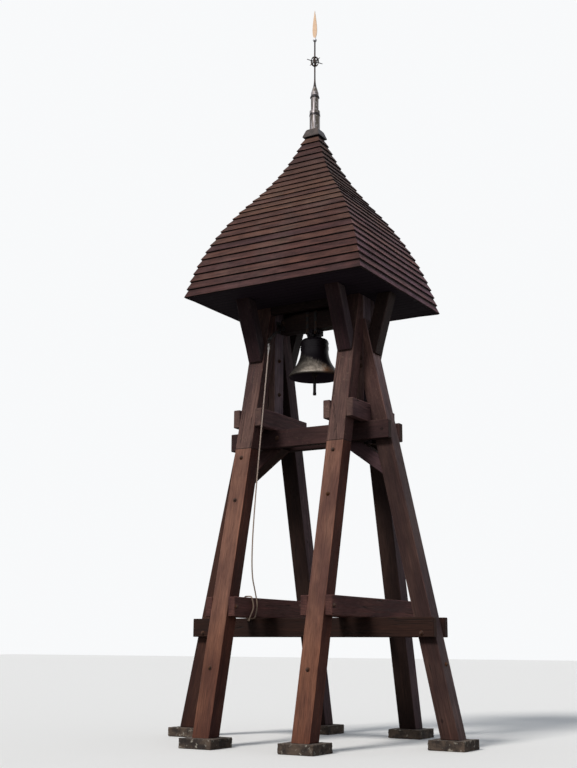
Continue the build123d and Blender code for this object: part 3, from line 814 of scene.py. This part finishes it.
# Painted light under the roof, stronger on these members.
painted_light_under_roof_of = {"right_leg": 2.4, "left_leg": 1.5, "posts": 1.3}
for number, (name, nodes, turn, sunny, shady) in enumerate(timbers):
    upper, wear, painted_light_under_roof = upper_of.get(name), wear_of.get(name, 0.15), painted_light_under_roof_of.get(name, 1.0)
    coat_nodes(nodes, timber_finish(name, turn, sunny, shady, upper, number * 1.7, wear, painted_light_under_roof))
print("timber finishes", len(timbers))

# %% [markdown]
# ## Roof boards
#
# The roof is clad with boards about 150 mm to the weather, each lapping over the one
# below, and mitred at the hips. The curve of a side is an ogee of two arcs that meet at
# a bend, the same as the frame's roof. Each course is started as a cube, its top face is
# drawn in to the size that the curve has there, its top and bottom are deleted, and the
# ring that is left gets its thickness inwards. The lower edge stands on the curve and
# the upper edge is let in by the board's thickness, so the next course covers it, and
# the butt edges cast the dark lines between the courses.

# %% The ogee
eave_z, bend_z, top_z = 7.210, 9.020, 10.310
eave_half = {"x": 1.676, "y": 1.517}
bend_share, top_share, bend_slope = 0.5, 0.09, 51.6


def arc_places(start, direction, end, count=60):
    """Points on the arc that leaves start in a direction and ends at end."""
    start, direction, end = Vector(start), Vector(direction).normalized(), Vector(end)
    chord = end - start
    turn = direction.angle_signed(chord)
    places = []
    for step in range(count + 1):
        part = turn * step / count
        reach = chord.length * math.sin(part) / math.sin(turn)
        heading = Vector((direction.x * math.cos(part) + direction.y * math.sin(part),
                          direction.y * math.cos(part) - direction.x * math.sin(part)))
        places.append(start + heading * reach)
    return places


def ogee(half):
    """Heights and reaches down one side, from the eave to the top."""
    run = math.cos(math.radians(bend_slope)) * half / eave_half["x"]
    rise = math.sin(math.radians(bend_slope))
    bend = (half * bend_share, bend_z)
    lower = arc_places(bend, (run, -rise), (half, eave_z))
    upper = arc_places(bend, (-run, rise), (half * top_share, top_z))
    places = lower[::-1] + upper[1:]
    return [place.y for place in places], [place.x for place in places]


sides = {axis: ogee(half) for axis, half in eave_half.items()}
heights, reaches = sides["y"]
steps = [math.hypot(dz, dy) for dz, dy in zip(np.diff(heights), np.diff(reaches))]
slope_length = sum(steps)
course_count = 24
travelled = np.concatenate([[0], np.cumsum(steps)])
stops = [slope_length * number / course_count for number in range(course_count + 1)]
laps = [float(np.interp(stop, travelled, heights)) for stop in stops]
print("slope", round(slope_length, 3), "board to weather", round(slope_length / course_count, 3))

# %% Reach and slope at a height
def reach_at(axis, height):
    return float(np.interp(height, *sides[axis]))


def slope_sine(height):
    """Sine of the curve's slope at a height, on the front."""
    low, high = max(eave_z, height - 0.02), min(top_z, height + 0.02)
    run = reach_at("y", low) - reach_at("y", high)
    return (high - low) / math.hypot(high - low, run)


print("sine of the slope at the eave", round(slope_sine(eave_z), 3))

# %% Courses
board_thickness = 0.032
lap = 0.034
unevenness = 0.0028


def course(number):
    """One ring of boards, from its lower edge up to just above the next lap."""
    low = laps[number]
    high = min(top_z, laps[number + 1] + lap * slope_sine(laps[number + 1]))
    middle = (high - low) / 2
    inset = board_thickness / slope_sine(high) + 0.002
    below = {axis: reach_at(axis, low) for axis in "xy"}
    above = {axis: reach_at(axis, high) - inset for axis in "xy"}
    size = (2 * below["x"], 2 * below["y"], high - low)
    ring = start_cube(f"course_{number}", (0, 0, (low + high) / 2), size)
    pick_faces(ring, lambda centre, normal: normal.z > 0.9)
    draw_in = (above["x"] / below["x"], above["y"] / below["y"], 1)
    bpy.ops.transform.resize(value=draw_in, center_override=(0, 0, high))
    pick_faces(ring, lambda centre, normal: abs(normal.z) > 0.9)
    bpy.ops.mesh.delete(type="ONLY_FACE")
    pick_edges(ring, lambda a, b: abs(a.z - b.z) < middle)
    bpy.ops.mesh.subdivide(number_cuts=8)
    bpy.ops.mesh.select_all(action="SELECT")
    bpy.ops.transform.vertex_random(offset=unevenness, seed=number + 1)
    edit_mode(False)
    wall = ring.modifiers.new("board", "SOLIDIFY")
    wall.thickness = board_thickness
    wall.offset = -1
    wall.use_even_offset = True
    broken_edges(ring, "edge", 0.004, 1)
    return settle(ring, 25)


courses = [course(number) for number in range(course_count)]
print("courses", len(courses), "faces in one", len(courses[0].data.polygons))

# %% [markdown]
# Each side of a course has its own tone, kept as an attribute of its faces, and a few
# courses are bleached more in front. A second attribute, rise, goes from 0 at a board's
# lower edge to 1 where the next board covers it.

# %% Tones and joining of the courses
bleached_courses = {2: 1.3, 7: 1.2, 11: 1.5, 12: 2.4, 14: 1.5}
for number, ring in enumerate(courses):
    tones = {side: chance.uniform(0.0, 1.0) for side in ("front", "back", "left", "right")}
    tones["front"] = bleached_courses.get(number, tones["front"])
    low, high = laps[number], laps[number + 1]
    half_x, half_y = reach_at("x", low), reach_at("y", low)
    values = []
    for face in ring.data.polygons:
        across, deep = face.center.x / half_x, face.center.y / half_y
        if abs(deep) >= abs(across):
            values.append(tones["front" if deep < 0 else "back"])
        else:
            values.append(tones["left" if across < 0 else "right"])
    ring.data.attributes.new("tone", "FLOAT", "FACE").data.foreach_set("value", values)
    rises = [(vertex.co.z - low) / (high - low) for vertex in ring.data.vertices]
    ring.data.attributes.new("rise", "FLOAT", "POINT").data.foreach_set("value", rises)
roof_boards = join_pieces(courses, "roof_courses")
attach(roof_boards, "frame")
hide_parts("roof_front", "roof_back", "roof_left", "roof_right")
print("roof faces", len(roof_boards.data.polygons))

# %% [markdown]
# The boards have much the same layers as the timber, at a board's scale. In front they
# are a little more purple low on the roof. The left and right sides are paler and purplish
# low down, partly from weathering and partly a painted reflection of the sky, and dark
# above. Just under the lap above, a painted shadow of the butt lies dark on the wood, the
# lower edge is worn paler, and the underside of a butt has painted shade, nearly black.
# Grain runs along each board, so the sides along X and those along Y have a finish each.

# %% Board finish
def board_finish(name, turn, fresh, bloom, lap_shadow_from, low_tint, high_tint, seed):
    """Tarred boards with the grain along +Z after the turn."""
    finish, tree = start_finish(name, 0.74, sheen=0.16)
    place, outward = where(tree)
    tone, rise = attribute(tree, "tone"), attribute(tree, "rise")
    streak = grain(tree, place, turn, (0.035, 0.035, 0.9), shift=seed)
    fibre = grain(tree, place, turn, (0.005, 0.005, 0.14), 3, shift=seed)
    patch = grain(tree, place, plumb, (0.55, 0.55, 0.7), 3, 0.55, seed)
    mottle = grain(tree, place, turn, (0.09, 0.09, 0.34), 4, 0.65, seed + 4)
    body = streaked(tree, streak, fresh, 0.3)
    body = cover_where(tree, body, soft_step(tree, patch, 0.42, 0.65), 0.6, bloom)
    body = grade(tree, body, tone, (0.74, 0.68, 0.80), (1.26, 1.22, 1.06))
    body = grade(tree, body, soft_step(tree, split(tree, place)[2], 7.5, 9.2), low_tint, high_tint)
    cloudy = soft_step(tree, mottle, 0.34, 0.66)
    body = grade(tree, body, cloudy, (0.68, 0.66, 0.68), (1.36, 1.32, 1.26))
    moss = times(tree, soft_step(tree, patch, 0.60, 0.72), soft_step(tree, fibre, 0.4, 0.6))
    body = cover_where(tree, body, moss, 0.35, (0.075, 0.062, 0.030))
    body = tint_where(tree, body, soft_step(tree, fibre, 0.56, 0.36), 0.5, (0.5, 0.45, 0.45))
    edge_wear = times(tree, soft_step(tree, rise, 0.13, 0.02), soft_step(tree, streak, 0.35, 0.6))
    body = tint_where(tree, body, edge_wear, 0.6, (1.9, 1.8, 1.7))
    # Painted shadow: a dark band just under the lap above, cast by the butt of the next course.
    edge_of_lap_shadow = plus(tree, rise, times(tree, minus(tree, streak, 0.5), 0.12))
    lap_shadow = soft_step(tree, edge_of_lap_shadow, lap_shadow_from, lap_shadow_from + 0.16)
    body = cover_where(tree, body, lap_shadow, 0.9, (0.010, 0.005, 0.005))
    # Painted shade: faces that look down, the butts' undersides, are nearly black.
    butt_underside_shade = soft_step(tree, times(tree, split(tree, outward)[2], -1.0), 0.1, 0.4)
    paint(tree, cover_where(tree, body, butt_underside_shade, 0.9, (0.008, 0.006, 0.006)))
    raise_surface(tree, fibre, 0.003, 0.8)
    return finish


front_fresh, front_bloom = (0.094, 0.046, 0.037), (0.096, 0.060, 0.052)
front_tints = ((0.85, 0.80, 0.94), (0.95, 1.0, 1.03))
# The sides' paler base and paler low tint are partly weathering and partly a painted reflection of the sky.
side_weathering_and_sky_sheen, side_bloom = (0.165, 0.092, 0.086), (0.160, 0.104, 0.110)
side_tints = ((1.46, 1.38, 1.58), (0.44, 0.42, 0.42))
coat(roof_boards, board_finish("boards_along_x", along_x, front_fresh, front_bloom, 0.75, *front_tints, 2.0))
side_boards = board_finish("boards_along_y", along_y, side_weathering_and_sky_sheen, side_bloom, 0.57, *side_tints, 9.0)
roof_boards.data.materials.append(side_boards)
side_marks = []
for face in roof_boards.data.polygons:
    deep = abs(face.center.y) / eave_half["y"]
    across = abs(face.center.x) / eave_half["x"]
    side_marks.append(1 if across > deep else 0)
roof_boards.data.polygons.foreach_set("material_index", side_marks)
print("side faces", sum(side_marks), "front faces", len(side_marks) - sum(side_marks))

# %% [markdown]
# The soffit closes the roof from below. It is boarded along X with boards about 140 mm
# wide, tarred and in deep shade; its near-black colour is partly tar and partly painted
# shade, so a few dark joints are enough.

# %% Soffit
soffit_width = 0.14
soffit_finish, tree = start_finish("soffit_boards", 0.8, sheen=0.1)
place, _ = where(tree)
board = maths(tree, "FRACT", maths(tree, "DIVIDE", split(tree, place)[1], soffit_width))
to_edge = maths(tree, "MINIMUM", board, rest_of(tree, board))
joint = rest_of(tree, soft_step(tree, to_edge, 0.02, 0.06))
streak = grain(tree, place, along_x, (0.03, 0.03, 0.8))
# Near-black board colour, partly tar and partly painted shade.
body = mix(tree, streak, (0.018, 0.013, 0.021), (0.052, 0.036, 0.054))
paint(tree, mix(tree, joint, body, (0.003, 0.002, 0.002)))
raise_surface(tree, minus(tree, streak, joint), 0.006)
coat_nodes(["soffit"], soffit_finish)
print("soffit boarded")

# %% [markdown]
# ## Bolts
#
# The timbers are held by long bolts. What shows is a round washer, a hexagonal nut and
# the bolt's rounded end. One is modelled lying on its washer and copied to every joint.

# %% One bolt
washer = turned_piece("washer", [(0.035, 0.0), (0.036, 0.002), (0.036, 0.005), (0.034, 0.007)], 24)
nut = turned_piece("nut", [(0.0255, 0.006), (0.0265, 0.008), (0.0265, 0.022), (0.0235, 0.026)], 6)
thread = turned_piece("thread", [(0.0135, 0.024), (0.0135, 0.034), (0.0105, 0.038)], 16)
bolt = join_pieces([washer, nut, thread], "bolt")
print("bolt faces", len(bolt.data.polygons))

# %% [markdown]
# A bolt's place is a point on a timber's face and the direction that the face looks.
# Each is worked out for the right front and mirrored to the other three quarters.

# %% Places for the bolts
side_slant, outer_slant = math.radians(side_lean), math.radians(outer_lean)
side_leg_x, girt_face, clamp_y, post_face = 0.857, 0.27, 1.42, 0.15
leg_bolt_shift = 0.01


def stands_out(face, slant, height):
    """How far a leaning face stands from the middle at a height."""
    return face["foot"] - math.tan(slant) * (height - footing_top)


leg_bolts, girt_bolts, clamp_bolts, post_bolts = [], [], [], []
for side in (-1, 1):
    for face in (-1, 1):
        out = (0, face * math.cos(side_slant), math.sin(side_slant))
        for height in (4.50, 3.785, 1.16):
            reach = face * stands_out(side_face, side_slant, height)
            leg_bolts.append(((side * side_leg_x - leg_bolt_shift, reach, height), out))
        for x, height in ((0.574, 4.904), (2.008, 1.695)):
            girt_bolts.append(((side * x, face * girt_face, height), (0, face, 0)))
        for x, looks in ((1.127, side), (0.587, -side)):
            clamp_bolts.append(((side * x, face * clamp_y, 2.082), (looks, 0, 0)))
        for height in (6.13, 6.00):
            post_bolts.append(((side * 0.957, face * post_face, height), (0, face, 0)))
    out = (side * math.cos(outer_slant), 0, math.sin(outer_slant))
    leg_bolts.append(((side * stands_out(outer_face, outer_slant, 1.233), 0, 1.233), out))
    for height in (6.31, 5.71):
        post_bolts.append(((side * 0.707, 0, height), (-side, 0, 0)))
bolt_groups = [
    copies(bolt, "leg_bolts", leg_bolts),
    copies(bolt, "girt_bolts", girt_bolts),
    copies(bolt, "clamp_bolts", clamp_bolts),
    copies(bolt, "post_bolts", post_bolts),
]
discard(bolt)
print("bolts", len(leg_bolts) + len(girt_bolts) + len(clamp_bolts) + len(post_bolts))

# %% [markdown]
# ## Ironwork
#
# Bolts, straps, bearings, lever and clapper are blackened iron. Iron that has stood in
# the rain is dull and nearly black, with brown rust that starts in patches.

# %% Iron finish
def iron_finish(name, base, rust_share, roughness=0.55):
    finish, tree = start_finish(name, roughness, 0.4, sheen=0.3)
    place, _ = where(tree)
    coarse = noise(tree, place, 4, 0.6, scale=14)
    fine = noise(tree, place, 3, 0.6, scale=160)
    rust = times(tree, soft_step(tree, coarse, 0.45, 0.62), rust_share)
    rust_tone = mix(tree, fine, (0.060, 0.026, 0.014), (0.19, 0.075, 0.032))
    body = mix(tree, fine, tuple(c * 0.7 for c in base), base)
    paint(tree, mix(tree, rust, body, rust_tone))
    dull(tree, rust, 0.0, 1.0, roughness, 0.9)
    raise_surface(tree, fine, 0.0008, 0.5)
    return finish


black_iron = iron_finish("black_iron", (0.030, 0.027, 0.028), 0.4)
bolt_iron = iron_finish("bolt_iron", (0.085, 0.050, 0.040), 1.0, 0.7)
coat_nodes(
    ["finial_iron", "gudgeons", "bearing_left", "bearing_right", "bell_straps", "clapper_staple",
     "rope_lever", "lever_shackle", "clapper"],
    black_iron,
)
for group in bolt_groups:
    coat(group, bolt_iron)
    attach(group, "frame")
print("iron on", len(bolt_groups), "bolt groups")

# %% [markdown]
# ## The bell
#
# The bell is old bronze. Its head and waist are nearly black, its skirt has a pale
# greenish-tan patina, with painted light and shade graded across it from dark on the left
# to palest right of the front. Rusty water from the iron above has stained it orange-brown
# there, and beyond the stain a painted shade darkens the side turned from the light. The
# finish is read by height and by direction, one direction being that of the stained and
# shaded side. Inside, where the surface looks back to the bell's own axis, it is
# sooty and dull.

# %% The bell's outside
lip_z = 5.95
bell_finish, tree = start_finish("bell_bronze", 0.5, 0.15, sheen=0.28)
place, outward = where(tree)
here, facing = split(tree, place), split(tree, outward)
cloud = noise(tree, place, 4, 0.6, scale=9)
run = grain(tree, place, plumb, (0.03, 0.03, 0.5))
drips = soft_step(tree, grain(tree, place, plumb, (0.022, 0.022, 0.30), shift=5), 0.50, 0.62)
stain_and_shade_way = plus(tree, times(tree, here[0], 0.87), times(tree, here[1], 0.49))

rim = plus(tree, here[2], times(tree, run, 0.20))
rim = plus(tree, rim, times(tree, here[0], 0.42))
rim = plus(tree, rim, times(tree, soft_step(tree, stain_and_shade_way, 0.05, 0.40), 0.07))
skirt = rest_of(tree, soft_step(tree, rim, 6.31, 6.38))
patina = mix(tree, soft_step(tree, cloud, 0.35, 0.65), (0.17, 0.15, 0.125), (0.42, 0.375, 0.31))
patina = cover_where(tree, patina, drips, 0.55, (0.055, 0.045, 0.035))
# Painted light and shade across the skirt: darker on the left, palest on the right.
across = soft_step(tree, here[0], -0.22, 0.42)
patina = grade(tree, patina, across, (0.17, 0.17, 0.18), (1.72, 1.68, 1.72))
dark = mix(tree, cloud, (0.012, 0.008, 0.012), (0.036, 0.027, 0.034))
body = mix(tree, skirt, dark, patina)
stain = times(tree, soft_step(tree, stain_and_shade_way, 0.09, 0.20), soft_step(tree, run, 0.38, 0.52))
body = cover_where(tree, body, times(tree, stain, skirt), 0.85, (0.34, 0.16, 0.07))
# Painted shade on the bell's side beyond the stain, turned from the light.
bell_shade_beyond_stain = mix(tree, soft_step(tree, stain_and_shade_way, 0.14, 0.31), as_it_is, (0.42, 0.34, 0.30))
body = mix(tree, skirt, body, tint(tree, body, bell_shade_beyond_stain))
lip_line = rest_of(tree, soft_step(tree, here[2], lip_z, lip_z + 0.018))
body = cover_where(tree, body, lip_line, 0.7, (0.05, 0.042, 0.035))
print("patina and stain made")

# %% The bell's inside
away = plus(tree, times(tree, here[0], facing[0]), times(tree, here[1], facing[1]))
inside = soft_step(tree, away, -0.005, -0.03)
paint(tree, mix(tree, inside, body, (0.060, 0.045, 0.066)))
dull(tree, inside, 0.0, 1.0, 0.45, 0.9)
raise_surface(tree, noise(tree, place, 3, 0.6, scale=120), 0.0006, 0.4)
coat_nodes(["bell"], bell_finish)
print("bell finished")

# %% [markdown]
# ## The finial
#
# Above the cap stands a stem clad in thin bright sheet, with two dark collars that throw
# rain off the laps, and a cone. The sheet has dull vertical stains, and one side, towards
# the right of the front, is speckled dark, partly a stain and partly painted shade. The cap
# is the same sheet gone dull, browner in front. The flame on top was gilded and the small
# ball is pale.

# %% Stem
collar_middles = (10.765, 11.122)
sheet_finish, tree = start_finish("bright_sheet", 0.38, 0.75)
place, outward = where(tree)
height, facing = split(tree, place)[2], split(tree, outward)
run = grain(tree, place, plumb, (0.03, 0.03, 0.35))
body = mix(tree, soft_step(tree, run, 0.38, 0.60), (0.075, 0.060, 0.048), (0.34, 0.315, 0.33))
# One side, towards the front right, is speckled dark, partly a stain and partly painted shade.
stem_stain_and_shade_way = minus(tree, times(tree, facing[0], 0.82), times(tree, facing[1], 0.57))
speckle = soft_step(tree, noise(tree, place, 4, 0.65, scale=16), 0.36, 0.52)
stain = times(tree, soft_step(tree, stem_stain_and_shade_way, 0.86, 0.97), speckle)
body = cover_where(tree, body, stain, 0.85, (0.055, 0.045, 0.026))
lower_collar, upper_collar = (near(tree, height, middle, 0.020, 0.024) for middle in collar_middles)
dark_bands = maths(tree, "MAXIMUM", lower_collar, upper_collar)
paint(tree, mix(tree, dark_bands, body, (0.022, 0.019, 0.021)))
raise_surface(tree, run, 0.002, 0.4)
coat_nodes(["finial_stem"], sheet_finish)
print("stem clad")

# %% Cap
cap_finish, tree = start_finish("grey_sheet", 0.55, 0.35)
place, outward = where(tree)
cloud = noise(tree, place, 4, 0.6, scale=12)
body = mix(tree, soft_step(tree, cloud, 0.35, 0.65), (0.018, 0.014, 0.013), (0.050, 0.043, 0.044))
front = soft_step(tree, times(tree, split(tree, outward)[1], -1.0), 0.3, 0.6)
paint(tree, grade(tree, body, front, (0.72, 0.76, 1.05), (0.98, 0.78, 0.68)))
raise_surface(tree, cloud, 0.003, 0.4)
coat_nodes(["roof_cap"], cap_finish)
print("cap finished")

# %% [markdown]
# The ironwork above the stem is a rod with a flared foot, an open cage of four bent bars
# and four spikes. Its arms stand across the frame's axes, a little over 28 degrees off.
# A bar of the cage is started as a torus and drawn taller, and a spike is turned.

# %% Rod and collars
low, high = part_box("finial_iron")
foot, top = low[2], high[2]
cage_middle = foot + 0.51
cage_turn = math.radians(-28.4)
rod_profile = [(0.031, 0.0), (0.022, 0.05), (0.0145, 0.12), (0.0135, 0.2), (0.0135, top - foot)]
rod = turned_piece("rod", [(radius, foot + up) for radius, up in rod_profile], 20)
collar_profile = [(0.016, 0.0), (0.021, 0.004), (0.021, 0.009), (0.016, 0.012)]
collars = [
    turned_piece("cage_collar", [(radius, start + up) for radius, up in collar_profile], 16)
    for start in (cage_middle - 0.098, cage_middle + 0.086)
]
print("rod", round(top - foot, 3), "m, collars", len(collars))

# %% Cage and spikes
cage_width, cage_height = 0.154, 0.200
clear_selection()
bpy.ops.mesh.primitive_torus_add(
    major_radius=0.070, minor_radius=0.007, major_segments=40, minor_segments=10,
    rotation=(math.pi / 2, 0, 0),
)
bar = name_piece(bpy.context.object, "cage_bar")
bpy.ops.object.transform_apply(location=True, rotation=True, scale=True)
edit_all(bar)
bpy.ops.transform.resize(value=(1, 1, cage_height / cage_width), center_override=(0, 0, 0))
edit_mode(False)
cage, spike_places = [], []
for step in range(4):
    copy = copy_of(bar)
    copy.rotation_euler.z = cage_turn + step * math.pi / 4
    copy.location.z = cage_middle
    cage.append(copy)
    turn = cage_turn + step * math.pi / 2
    spike_places.append(((0, 0, cage_middle), (math.cos(turn), math.sin(turn), 0)))
discard(bar)
spike = turned_piece("spike", [(0.008, 0.0), (0.008, 0.10), (0.0065, 0.160), (0.003, 0.168)], 12)
spikes = copies(spike, "spikes", spike_places)
discard(spike)
ironwork = join_pieces([rod, spikes, *collars, *cage], "finial_ironwork")
coat(ironwork, black_iron)
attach(ironwork, "frame")
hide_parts("finial_iron")
print("ironwork faces", len(ironwork.data.polygons))

# %% Flame and ball
ball_top = 12.29
gilt, tree = start_finish("pale_gilding", 0.45, 0.4)
place, _ = where(tree)
gold = mix(tree, noise(tree, place, 3, 0.6, scale=30), (0.42, 0.27, 0.17), (0.60, 0.44, 0.31))
ball = rest_of(tree, soft_step(tree, split(tree, place)[2], ball_top, ball_top + 0.01))
paint(tree, mix(tree, ball, gold, (0.62, 0.62, 0.64)))
coat_nodes(["finial_flame"], gilt)
print("flame gilded")

# %% [markdown]
# ## Footings
#
# Each leg stands on a low block of rough dark stone. A block is started as a cube,
# subdivided, and roughened by moving its points a little at random, and then its edges
# are broken by a small bevel. It stays inside the space of the frame's footing.

# %% Footings
def footing(name, node):
    low, high = (Vector(corner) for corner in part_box(node))
    centre, size = (low + high) / 2, high - low
    block = start_cube(name, centre, (size.x - 0.024, size.y - 0.024, size.z - 0.004))
    edit_all(block)
    bpy.ops.mesh.subdivide(number_cuts=9)
    bpy.ops.transform.vertex_random(offset=0.008, seed=chance.randint(1, 999))
    edit_mode(False)
    least, most = low - centre, high - centre
    for vertex in block.data.vertices:
        for axis in range(3):
            vertex.co[axis] = min(max(vertex.co[axis], least[axis] + 0.001), most[axis])
    broken_edges(block, "broken_edge", 0.009, 2)
    return settle(block, 60)


stone_finish, tree = start_finish("dark_stone", 0.9)
place, _ = where(tree)
cloud = noise(tree, place, 4, 0.65, scale=7)
chips = noise(tree, place, 4, 0.7, scale=13)
fine = noise(tree, place, 3, 0.6, scale=140)
body = mix(tree, soft_step(tree, cloud, 0.35, 0.65), (0.018, 0.012, 0.010), (0.095, 0.066, 0.048))
paint(tree, mix(tree, soft_step(tree, chips, 0.565, 0.66), body, (0.36, 0.33, 0.28)))
raise_surface(tree, plus(tree, chips, times(tree, fine, 0.3)), 0.008, 0.8)
for node in sorted(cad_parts):
    if node.startswith("footing_"):
        block = footing(node.replace("footing_", "stone_"), node)
        coat(block, stone_finish)
        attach(block, "frame")
        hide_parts(node)
print("footings roughened")

# %% [markdown]
# ## Rope finish
#
# The rope is weathered hemp, pale grey-brown and tanner where hands take it, with painted
# shade in the hollows between its strands. The knot under the lever is almost white.
# The yarns are drawn by a stripe that follows the lay attribute of each strand.

# %% Rope finish
yarns = 6
rope_finish, tree = start_finish("weathered_hemp", 0.9)
place, _ = where(tree)
height = split(tree, place)[2]
yarn = maths(tree, "SINE", times(tree, attribute(tree, "lay"), yarns * math.pi * 2))
body = mix(tree, noise(tree, place, 3, 0.6, scale=20), (0.46, 0.36, 0.31), (0.78, 0.66, 0.60))
# Painted shade in the hollows along the yarn stripe.
body = mix(tree, soft_step(tree, yarn, -0.2, -0.9), body, (0.22, 0.165, 0.135))
body = grade(tree, body, soft_step(tree, height, 2.3, 6.1), (0.82, 0.74, 0.64), (1.12, 1.12, 1.12))
paint(tree, cover_where(tree, body, soft_step(tree, height, 6.25, 6.34), 0.85, (0.95, 0.92, 0.90)))
raise_surface(tree, yarn, 0.0006, 0.5)
for piece in (bell_rope, rope_knot, tail_knot):
    coat(piece, rope_finish)
print("rope finished")

# %% [markdown]
# ## Floor and light
#
# The tower stands on a plain pale floor under soft light. A large soft sun stands high in
# front, so the front faces are lit and the right faces stay dark. The sky is a plain
# fill. The camera sees both white, while the timber gets less light from the sky and no
# more from the floor than mown grass would throw back.

# %% Floor
clear_selection()
bpy.ops.mesh.primitive_plane_add(size=240, location=(0, 0, 0))
floor = name_piece(bpy.context.object, "floor")
floor_finish, tree = start_finish("pale_floor", 0.9)
seen = put(tree, "ShaderNodeLightPath").outputs["Is Camera Ray"]
paint(tree, mix(tree, seen, (0.13, 0.125, 0.11), (0.86, 0.86, 0.85)))
coat(floor, floor_finish)
print("floor laid")

# %% Light
world = bpy.data.worlds.new("sky")
bpy.context.scene.world = world
world.use_nodes = True
tree = world.node_tree
tree.nodes.clear()
rays = put(tree, "ShaderNodeLightPath").outputs
shown = maths(tree, "MAXIMUM", rays["Is Camera Ray"], rays["Is Glossy Ray"])
fill = put(tree, "ShaderNodeBackground", {"Color": (0.85, 0.91, 1.0), "Strength": 0.38})
white = put(tree, "ShaderNodeBackground", {"Color": (0.94, 0.95, 0.96), "Strength": 1.0})
sky = put(tree, "ShaderNodeMixShader", {0: shown, 1: fill.outputs[0], 2: white.outputs[0]})
put(tree, "ShaderNodeOutputWorld", {"Surface": sky.outputs[0]})

sun = bpy.data.objects.new("sun", bpy.data.lights.new("sun", "SUN"))
bpy.context.scene.collection.objects.link(sun)
sun.data.energy = 2.6
sun.data.angle = math.radians(14)
sun.data.color = (1.0, 0.965, 0.92)
sun.rotation_euler = Vector((0.12, 0.72, -0.68)).to_track_quat("-Z", "Y").to_euler()
bpy.context.scene.view_settings.view_transform = "Standard"
print("lights on")
